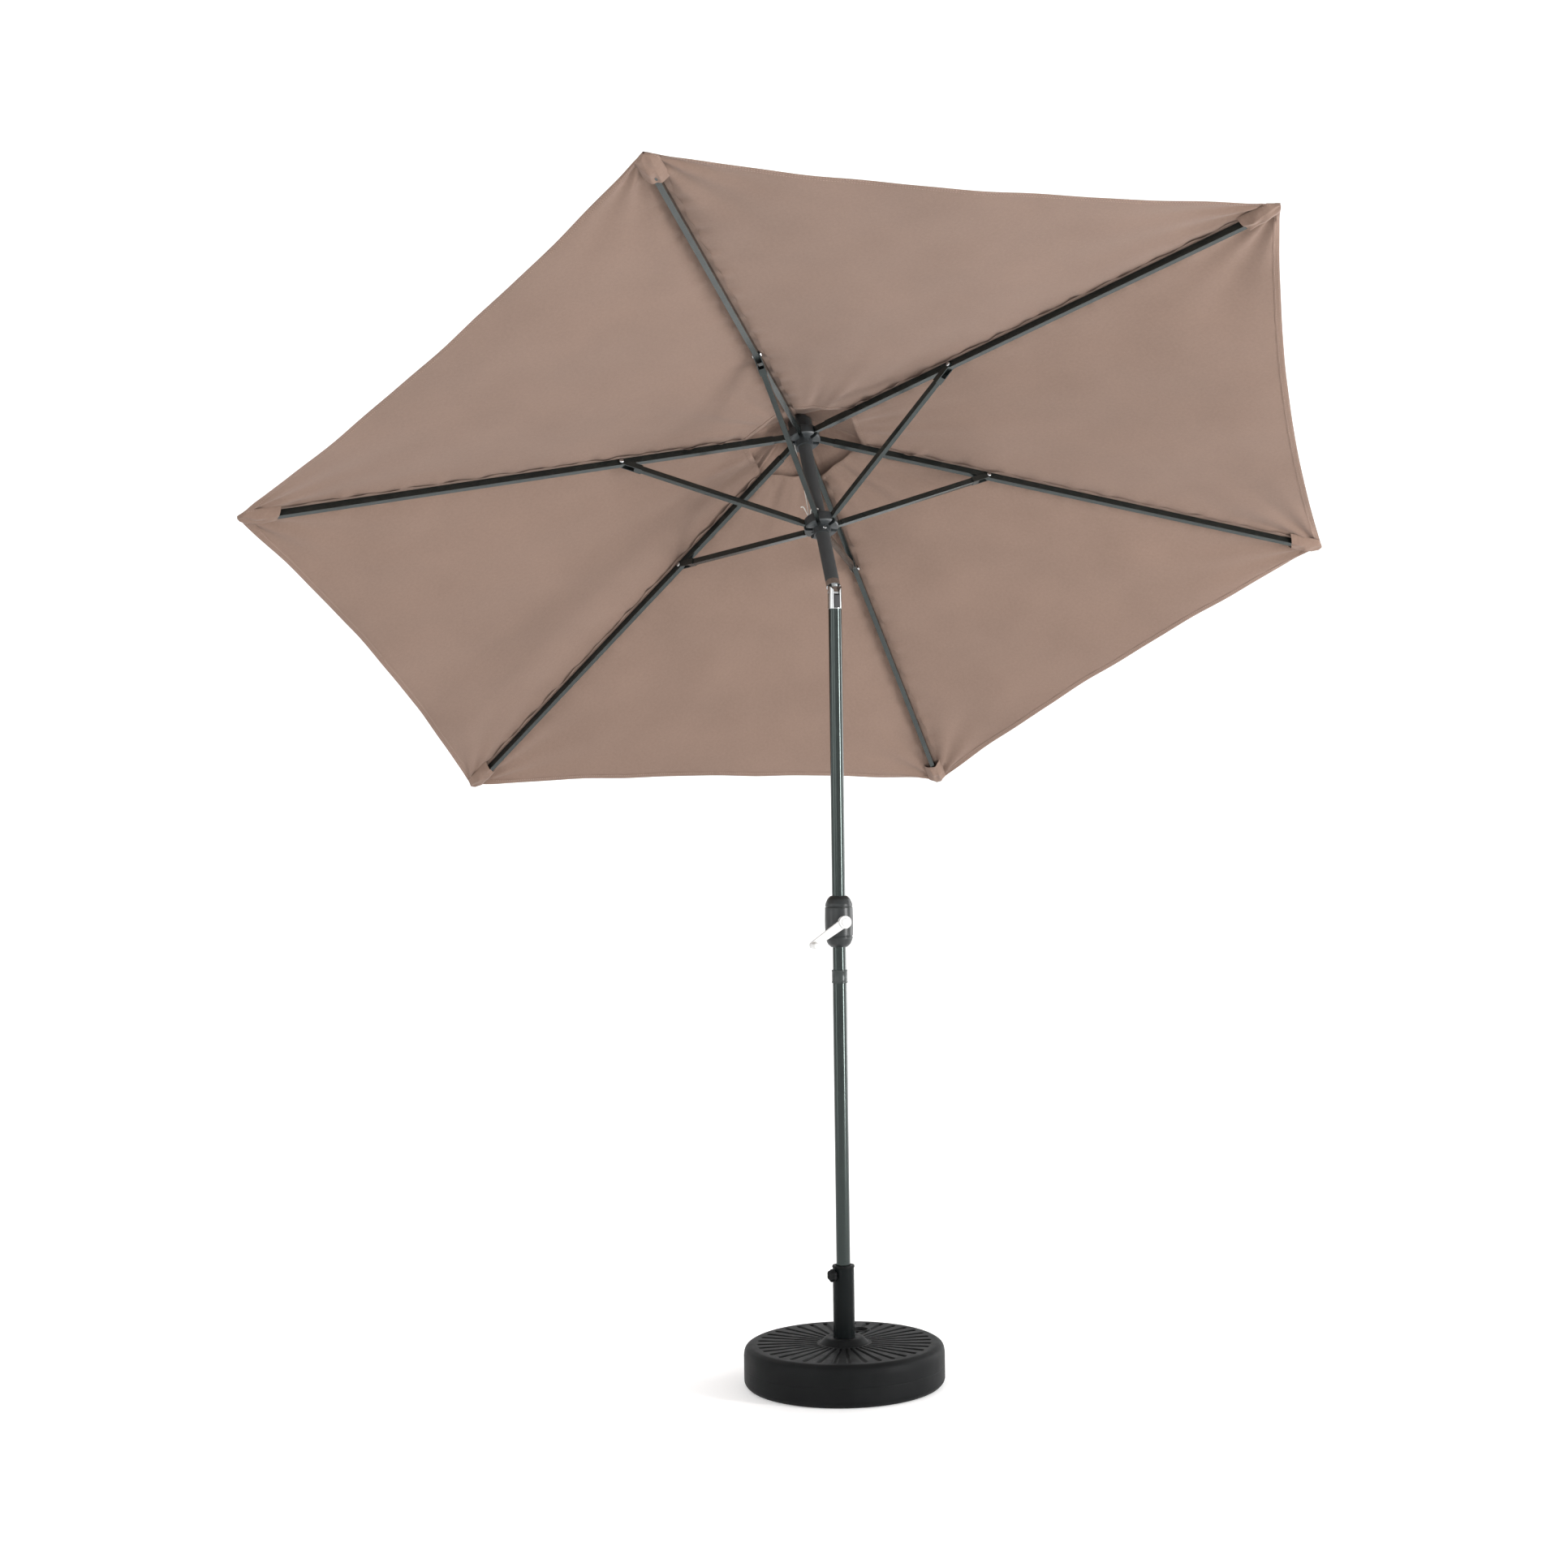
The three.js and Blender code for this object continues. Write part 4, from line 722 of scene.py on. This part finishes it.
def flap(rib, side):
    """One narrow wavy strip beside the rib, hanging a few millimetres under the cloth."""
    along = np.linspace(VENT * math.cos(0) + 0.01, TIP - 0.07, 420)
    share = np.linspace(0, 1, 6)
    waves = SEAM_WAVES[rib]
    edge = 0.5 + 0.32 * np.sin(along * 86 + waves[0] + side) + 0.22 * np.sin(along * 151 + waves[4]) + 0.15 * np.sin(along * 33 + waves[5])
    width = 0.0105 + 0.0022 * np.sin(along * 61 + waves[6] + 2 * side)
    away = 0.0068 + share[None, :] * width[:, None]
    loose = 0.35 + 0.8 * np.exp(-((along - 0.13) / 0.30) ** 2)
    drop = -0.0014 - 0.0078 * share[None, :] ** 1.3 * (loose * np.clip(edge, 0.05, 1.2))[:, None]
    height = RIDGE_LIFT - along[:, None] * SLOPE - away * 0.5 * SLOPE / math.cos(PANEL_HALF) + drop
    top = np.stack([along[:, None] + 0 * away, side * away, height], -1)
    bottom = top + [0, 0, -0.0008]
    loop = np.concatenate([top, bottom[:, ::-1]], 1)
    lay = np.concatenate([np.stack([along[:, None] + 0 * away, away], -1)] * 2, 1)
    return loop, lay


POCKET_HALF, POCKET_LONG = 0.025, 0.088


def pocket_half(a):
    """Half the pocket's width: even along the strip, then cut back by the two hems that meet at the tip."""
    return np.minimum(POCKET_HALF, 0.0012 + np.maximum(0.001 - a, 0) * math.tan(math.radians(52)))


def pocket(rib):
    """A flat cloth strip sewn over the rib's end. Across, it is a tent from the canopy at its sides to the
    rib's underside in the middle. Along, it falls away to the corner as the two hems close in."""
    along = np.linspace(-POCKET_LONG, 0.0, 60)
    across = np.linspace(-1, 1, 57)
    a, c = np.meshgrid(along, across, indexing="ij")
    waves = SEAM_WAVES[rib]
    skew = 0.010 * c * math.sin(waves[1])
    a = a - skew * np.clip(-a / POCKET_LONG, 0, 1)
    half = pocket_half(a)
    aside = c * half
    tent = np.clip((half - np.abs(aside)) / np.maximum(half - 0.0085, 0.002), 0, 1)
    tent = tent * (1.35 - 0.35 * tent)
    near_tip = np.clip(-a / 0.050, 0, 1) ** 0.8
    crease = 0.0011 * np.sin(a * 150 + c * 3.5 + waves[2]) * (1 - c**2) + 0.0008 * np.sin(a * 75 - c * 7 + waves[3])
    depth = 0.0022 + (0.0042 + 0.0150 * near_tip) * tent + crease * near_tip * (0.3 + tent)
    base = RIDGE_LIFT - (TIP + a) * SLOPE - np.abs(aside) * 0.5 * SLOPE / math.cos(PANEL_HALF)
    lower = np.stack([TIP + a, aside, base - depth], -1)
    upper = np.stack([TIP + a, aside, base - np.maximum(depth - 0.0010, 0.0008)], -1)
    lay = np.stack([a, aside], -1)
    return upper, lower, lay


def closed_sheet(name, upper, lower, lay, material, body, place, smooth=60):
    """Two grids a cloth's thickness apart, joined round their rims."""
    rows, columns = upper.shape[:2]
    count = rows * columns
    edge = np.concatenate([
        np.arange(columns), np.arange(1, rows) * columns + columns - 1,
        (rows - 1) * columns + np.arange(columns - 2, -1, -1), np.arange(rows - 2, 0, -1) * columns,
    ])
    after = np.roll(edge, -1)
    faces = np.concatenate([
        grid_faces(rows, columns)[:, ::-1], grid_faces(rows, columns, count),
        np.stack([edge, after, after + count, edge + count], -1),
    ])
    points = moved(np.concatenate([upper.reshape(-1, 3), lower.reshape(-1, 3)]), place)
    return new_piece(name, points, faces, material, body, uv=np.concatenate([lay.reshape(-1, 2)] * 2), smooth=smooth)


for rib in range(RIBS):
    place = placed(CROWN, turn(rib * TAU / RIBS, "Z"))
    body = f"rib_arm_{rib + 1}"
    for side, label in ((1, "left"), (-1, "right")):
        loop, lay = flap(rib, side)
        faces = list(grid_faces(*loop.shape[:2], wrap_columns=True))
        faces.append(np.arange(loop.shape[1]))
        faces.append(np.arange(loop.shape[1])[::-1] + (loop.shape[0] - 1) * loop.shape[1])
        gores[rib][1].append(new_piece(f"seam_flap_{rib + 1}_{label}", moved(loop, place), faces, SEAM_FABRIC, body, uv=lay, smooth=60))
    upper, lower, lay = pocket(rib)
    gores[rib][1].append(closed_sheet(f"tip_pocket_{rib + 1}", upper, lower, lay, SEAM_FABRIC, body, place))
    stitch_a = np.linspace(-POCKET_LONG + 0.002, -0.006, 60)
    rows = []
    for side in (-1, 1):
        aside = side * (pocket_half(stitch_a) - 0.0025)
        base = RIDGE_LIFT - (TIP + stitch_a) * SLOPE - np.abs(aside) * 0.5 * SLOPE / math.cos(PANEL_HALF)
        rows.append(moved(np.stack([TIP + stitch_a, aside, base - 0.0048], -1), place))
    gores[rib][1].append(dashes(f"pocket_stitches_{rib + 1}", rows, [place[:3, 2]] * 2, rib, long=0.0038))
    gore, others = gores[rib]

# %% [markdown]
# ## Vent cap
# A smaller six-sided cloth pyramid sits a little above the hole in the canopy, so
# wind can pass between them.

# %% Vent cap
CAP_RADIUS, CAP_TOP, CAP_HOLE = 0.214, 0.070, 0.006
CAP_EDGE = RIDGE_LIFT - CAP_RADIUS * SLOPE + 0.0086


def cap(r, a, above=0.0):
    """Cap surface: r out to the corners and a the turn. A flat face between corners lies at r cos 30 / cos(a - middle)."""
    local = (a % (TAU / RIBS)) - PANEL_HALF
    reach = r * math.cos(PANEL_HALF) / np.cos(local)
    corner = np.abs(local) / PANEL_HALF
    share = (r - CAP_HOLE) / (CAP_RADIUS - CAP_HOLE)
    scallop = 1 - 0.035 * (1 - corner**2) * share
    height = CAP_TOP + (CAP_EDGE - CAP_TOP) * share - 0.004 * np.sin(math.pi * share) * (1 - corner**2)
    height = height + 0.0010 * np.sin(a * 42 + 3 * r) * share * np.exp(-((1 - corner) / 0.35) ** 2)
    return np.stack([reach * scallop * np.cos(a), reach * scallop * np.sin(a), height + above], -1)


cap_r = np.linspace(CAP_HOLE, CAP_RADIUS, 60)[:, None]
cap_a = (np.arange(360) / 360 * TAU)[None, :]
cap_upper, cap_lower = cap(cap_r, cap_a, 0.0007), cap(cap_r, cap_a, 0.0)
cap_points = np.concatenate([cap_upper, cap_lower[::-1]])
cap_faces = grid_faces(len(cap_points), 360, wrap_rows=True, wrap_columns=True)
vent_cap = new_piece("vent_cap_cloth", moved(cap_points, CROWN), cap_faces, CAP_FABRIC_PAINTED_LIGHT, "head",
                     uv=cap_points[..., :2].reshape(-1, 2), smooth=50)
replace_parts(vent_cap, "vent_cap")
hem_share = np.array([-0.014, -0.007, -0.001, 0.0008, -0.001, -0.007, -0.014])
hem_above = np.array([0.0012, 0.0020, 0.0017, 0.0004, -0.0011, -0.0014, -0.0006])
cap_hem_points = np.stack([cap(CAP_RADIUS + s, cap_a[0], h) for s, h in zip(hem_share, hem_above)])
cap_hem = new_piece("vent_cap_hem", moved(cap_hem_points, CROWN), grid_faces(len(hem_share), 360, wrap_rows=True, wrap_columns=True),
                    SEAM_FABRIC, "head", uv=np.stack(np.broadcast_arrays(cap_a * 0.2, hem_share[:, None]), -1), smooth=60)

# %% [markdown]
# ## Ribs, struts and hubs
# These are copies of the rigid parts with their flat faces merged and their edges
# rounded, because folded and rolled tube has no sharp corner.

# %% Ribs and hubs
for rib in range(RIBS):
    bar_place = placed(CROWN, turn(rib * TAU / RIBS, "Z"), shift(PIVOT, 0, 0), turn(DROOP, "Y"))
    softened(f"rib_bar_{rib + 1}", f"rib_{rib + 1}", RIB_COAT, 0.0018, 3, pinch=(bar_place, RIB_LENGTH, 0.05, 0.3, 0.009))
    softened(f"strut_bar_{rib + 1}", f"strut_{rib + 1}", RIB_COAT, 0.0016, 3)
    softened(f"rivet_{rib + 1}", f"rib_rivet_{rib + 1}", STEEL, 0.0005, 2, 25)
softened("crown_hub", "crown", HUB_PLASTIC, 0.0012, 3)
softened("runner_hub", "runner", HUB_PLASTIC, 0.0012, 3)

# %% [markdown]
# ## Masts, collar and tilt joint

# %% Masts
lower = turned("lower_tube", tube_outline(0.0152, 0.0167, 0.0113, SPLICE), MAST_COAT, "pole", closed=True)
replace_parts(lower, "lower_mast")
middle = turned("middle_tube", tube_outline(0.0143, 0.0158, SPLICE + 0.002, TILT_HEIGHT - 0.0383), MAST_COAT, "pole", closed=True)
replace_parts(middle, "middle_mast")
upper = turned("upper_tube", tube_outline(0.015, 0.0165, 0.0333, 0.4817), MAST_MATTE, "head", HEAD, closed=True)
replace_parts(upper, "upper_mast")
half = 0.0155
collar_outline = [(0.0170, -half), (0.0184, -half), (0.0190, -half + 0.001), (0.0190, -half + 0.0032), (0.0182, -half + 0.0044),
                  (0.0181, half - 0.0044), (0.0190, half - 0.0032), (0.0190, half - 0.001), (0.0184, half), (0.0170, half)]
collar = turned("splice_collar", collar_outline, COLLAR_PLASTIC, "pole", placed(shift(0, 0, SPLICE)), closed=True, smooth=50)
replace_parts(collar, "mast_collar")

# %% Crank
HOUSE = 0.0605
house_outline = [(0.0161, -HOUSE), (0.0195, -HOUSE), (0.0268, -HOUSE + 0.007), (0.0315, -HOUSE + 0.018), (0.0325, -HOUSE + 0.0235),
                 (0.0312, -HOUSE + 0.0248), (0.0312, -HOUSE + 0.0262), (0.0328, -HOUSE + 0.0275), (0.0335, 0.0),
                 (0.0328, HOUSE - 0.0275), (0.0312, HOUSE - 0.0262), (0.0312, HOUSE - 0.0248), (0.0325, HOUSE - 0.0235),
                 (0.0315, HOUSE - 0.018), (0.0268, HOUSE - 0.007), (0.0195, HOUSE), (0.0161, HOUSE)]


def half_housing(name, node, side):
    """Half of a turned shell, cut along the plane that holds the mast's axis, with a closed wall at the cut."""
    outline = rounded(house_outline, 0.0022, 4)
    angle = np.linspace(0.006, math.pi - 0.006, 73) + (math.pi if side < 0 else 0)
    r, h = outline[:, :1], outline[:, 1:]
    points = np.stack([r * np.cos(angle), r * np.sin(angle), h + 0 * angle], -1)
    rows, columns = points.shape[:2]
    faces = list(grid_faces(rows, columns, wrap_rows=True))
    faces.append(np.arange(rows) * columns)
    faces.append(np.arange(rows)[::-1] * columns + columns - 1)
    obj = new_piece(name, moved(points, CRANK), faces, CRANK_PLASTIC, "pole", smooth=35)
    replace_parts(obj, node)
    return obj


half_housing("housing_front", "crank_housing_front", -1)
half_housing("housing_back", "crank_housing_back", 1)
ARM_PLACE = placed(CRANK, FACING, turn(math.radians(213), "Z"))
softened("crank_handle_arm", "crank_arm", WHITE_PLASTIC, 0.0022, 4)
knob_outline = [(0, 0.0442), (0.002, 0.0442), (0.002, 0.0482), (0.0060, 0.0482), (0.0078, 0.0500), (0.0085, 0.0540),
                (0.0078, 0.0640), (0.0070, 0.0685), (0.0048, 0.0714), (0, 0.0722)]
knob = turned("crank_handle_knob", knob_outline, WHITE_PLASTIC, "handle", placed(ARM_PLACE, shift(0.095, 0, 0)), segments=48, round_by=0.0016)
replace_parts(knob, "crank_knob")
cap_outline = [(0, 0.0470), (0.0100, 0.0470), (0.0100, 0.0498), (0.0086, 0.0508), (0.0030, 0.0512), (0, 0.0505)]
turned("arm_boss_cap", cap_outline, WHITE_PLASTIC, "crank", placed(CRANK, FACING), segments=48, round_by=0.0006)

# %% Tilt joint
softened("tilt_lower_fork", "tilt_fork", BRIGHT, 0.0006, 2)
softened("tilt_upper_tongue", "tilt_tongue", BRIGHT, 0.0006, 2)
spring_turns = np.linspace(0, 4 * TAU, 120)
spring_path = np.stack([0.0026 * np.cos(spring_turns), -0.0120 + 0.0022 * spring_turns / spring_turns[-1], -0.029 + 0.0026 * np.sin(spring_turns)], -1)
spring = swept("button_coil", moved(spring_path, KNUCKLE), circle(0.00022, 6), STEEL, "pole", up=(0, 1, 0))
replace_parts(spring, "button_spring")
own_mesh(spring)
softened("tilt_release_button", "tilt_button", BUTTON_PLASTIC, 0.0012, 3)

# %% [markdown]
# ## Base
# The tank is blow moulded in one piece: a drum with a soft shoulder, a flat top
# with radial grooves, a raised boss round the tube and a fill hole behind it.

# %% Base tank
FILL_AT = np.array([0.135 * math.cos(math.radians(55)), 0.135 * math.sin(math.radians(55))])
GROOVES = 36


def tank_points(segments):
    """The tank's outside: an outline carried round Z, less the grooves, with a dip for the fill hole."""
    angle = np.arange(segments) / segments * TAU
    shoulder = rounded([(0.204, 0.0), (0.2262, 0.0), (0.2368, 0.011), (0.2369, 0.0465), (0.2362, 0.0478), (0.2369, 0.0491),
                        (0.2370, 0.078), (0.2335, 0.0915), (0.2215, 0.0982), (0.212, 0.0982)], 0.0075, 6)
    top_r = np.linspace(0.2115, 0.060, 92)
    boss = rounded([(0.060, 0.098), (0.0575, 0.0982), (0.0455, 0.1108), (0.041, 0.112), (0.0262, 0.112)], 0.003, 5)
    well = [(0.0258, 0.1116), (0.0258, 0.0075), (0.0250, 0.0070), (0.0, 0.0070)]
    outline = np.vstack([[(0.0, 0.0), (0.10, 0.0)], shoulder, np.stack([top_r, np.full_like(top_r, 0.0982)], -1), boss, well])
    r, h = outline[:, :1], outline[:, 1:] + 0 * angle[None, :]
    pitch = TAU / GROOVES
    local = np.abs(((angle - math.radians(5)) + pitch / 2) % pitch - pitch / 2)[None, :]
    half_wide = 0.0022 + 0.018 * r
    from_edge = half_wide - local * r
    ends = np.minimum((r - 0.064) / 0.004, (0.2075 - r) / 0.006 - (local * r / np.maximum(half_wide, 1e-4)) ** 2 * 0.6)
    depth = np.clip(np.minimum(from_edge / 0.0013, ends), 0, 1)
    depth = depth * depth * (3 - 2 * depth)
    x, y = r * np.cos(angle), r * np.sin(angle)
    fill = np.hypot(x - FILL_AT[0], y - FILL_AT[1])
    flat = np.clip((fill - 0.024) / 0.003, 0, 1)
    on_top = ((h > 0.097) & (r > 0.059) & (r < 0.2116)).astype(float)
    h = h - 0.0042 * depth * flat * on_top
    h = h + 0.0012 * np.exp(-(((fill - 0.0205) / 0.0022) ** 2)) * on_top
    hole = np.clip((0.0172 - fill) / 0.0014, 0, 1)
    h = h - 0.011 * hole * on_top
    return np.stack([x, y, h], -1)


tank_grid = tank_points(720)
tank = new_piece("base_tank_shell", tank_grid, grid_faces(len(tank_grid), 720, wrap_columns=True), BASE_PLASTIC, "base", smooth=60)
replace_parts(tank, "base_tank")
plug_outline = [(0, 0.0895), (0.0135, 0.0895), (0.0135, 0.0925), (0.0090, 0.0925), (0.0085, 0.0905), (0.0030, 0.0905), (0.0028, 0.0935), (0, 0.0935)]
plug = turned("fill_plug_cap", plug_outline, BUTTON_PLASTIC, "base", placed(shift(FILL_AT[0], FILL_AT[1], 0)), segments=48, round_by=0.0008)
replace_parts(plug, "fill_plug")

# %% Stand tube
stand = turned("stand_sleeve", tube_outline(0.024, 0.0255, 0.0073, TUBE_TOP), TUBE_COAT, "base", closed=True)
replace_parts(stand, "stand_tube")
adaptor_outline = [(0.0170, 0.215), (0.0237, 0.215), (0.0237, 0.2753), (0.0265, 0.2753), (0.0267, 0.2765), (0.0258, 0.2796), (0.0235, 0.280),
                   (0.0195, 0.280), (0.0176, 0.2785), (0.0170, 0.276)]
adaptor = turned("tube_mouth_bush", adaptor_outline, BASE_PLASTIC, "base", closed=True, smooth=45)
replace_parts(adaptor, "tube_adaptor")
KNOB_PLACE = placed(shift(0, 0, 0.259), turn(math.radians(200), "Z"), turn(math.pi / 2, "Y"))


def lobed_knob(name):
    """A clamping knob: its outline's outer part swells and dips six times round, r times 1 + 0.07 cos 6a."""
    outline = rounded([(0, 0.0170), (0.004, 0.0170), (0.004, 0.0258), (0.008, 0.0258), (0.008, 0.0280), (0.0125, 0.0280),
                       (0.0148, 0.0310), (0.0148, 0.0365), (0.0120, 0.0398), (0.0040, 0.0400), (0, 0.0392)], 0.0012, 4)
    angle = np.arange(96) / 96 * TAU
    r, h = outline[:, :1], outline[:, 1:]
    swell = 1 + 0.07 * np.cos(6 * angle) * np.clip((r - 0.009) / 0.004, 0, 1) - 0.03
    points = np.stack([r * swell * np.cos(angle), r * swell * np.sin(angle), h + 0 * angle], -1)
    return new_piece(name, moved(points, KNOB_PLACE), grid_faces(len(outline), 96, wrap_columns=True), BASE_PLASTIC, "clamp_knob")


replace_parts(lobed_knob("clamp_knob_lobed"), "stand_knob")

# %% Finial
finial_outline = [(0, 0.053), (0.003, 0.053), (0.003, 0.0712), (0.0168, 0.0712), (0.0170, 0.0738), (0.0095, 0.0762), (0.0078, 0.0785), (0.0102, 0.0825),
                  (0.0127, 0.0880), (0.0130, 0.0925), (0.0112, 0.0975), (0.0070, 0.1012), (0, 0.1026)]
finial = turned("finial_ball", finial_outline, HUB_PLASTIC, "head", CROWN, segments=72, round_by=0.002)
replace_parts(finial, "finial")

# %% [markdown]
# ## Rigid parts that keep their own shape
# Small turned parts that are mostly hidden keep the rigid model's mesh and get a
# proper finish.

# %% Remaining finishes
KEPT = {
    "ballast_fill": SAND, "mast_foot_cap": BASE_PLASTIC, "crank_spindle": STEEL, "tilt_pin": STEEL,
    "crown_ring": STEEL, "pulley_axle": STEEL, "pulley": WHITE_PLASTIC, "runner_ring": STEEL, "runner_screw": BRIGHT,
}
for node, material in KEPT.items():
    kept = bpy.data.objects[node]
    kept.data.materials.clear()
    kept.data.materials.append(material)
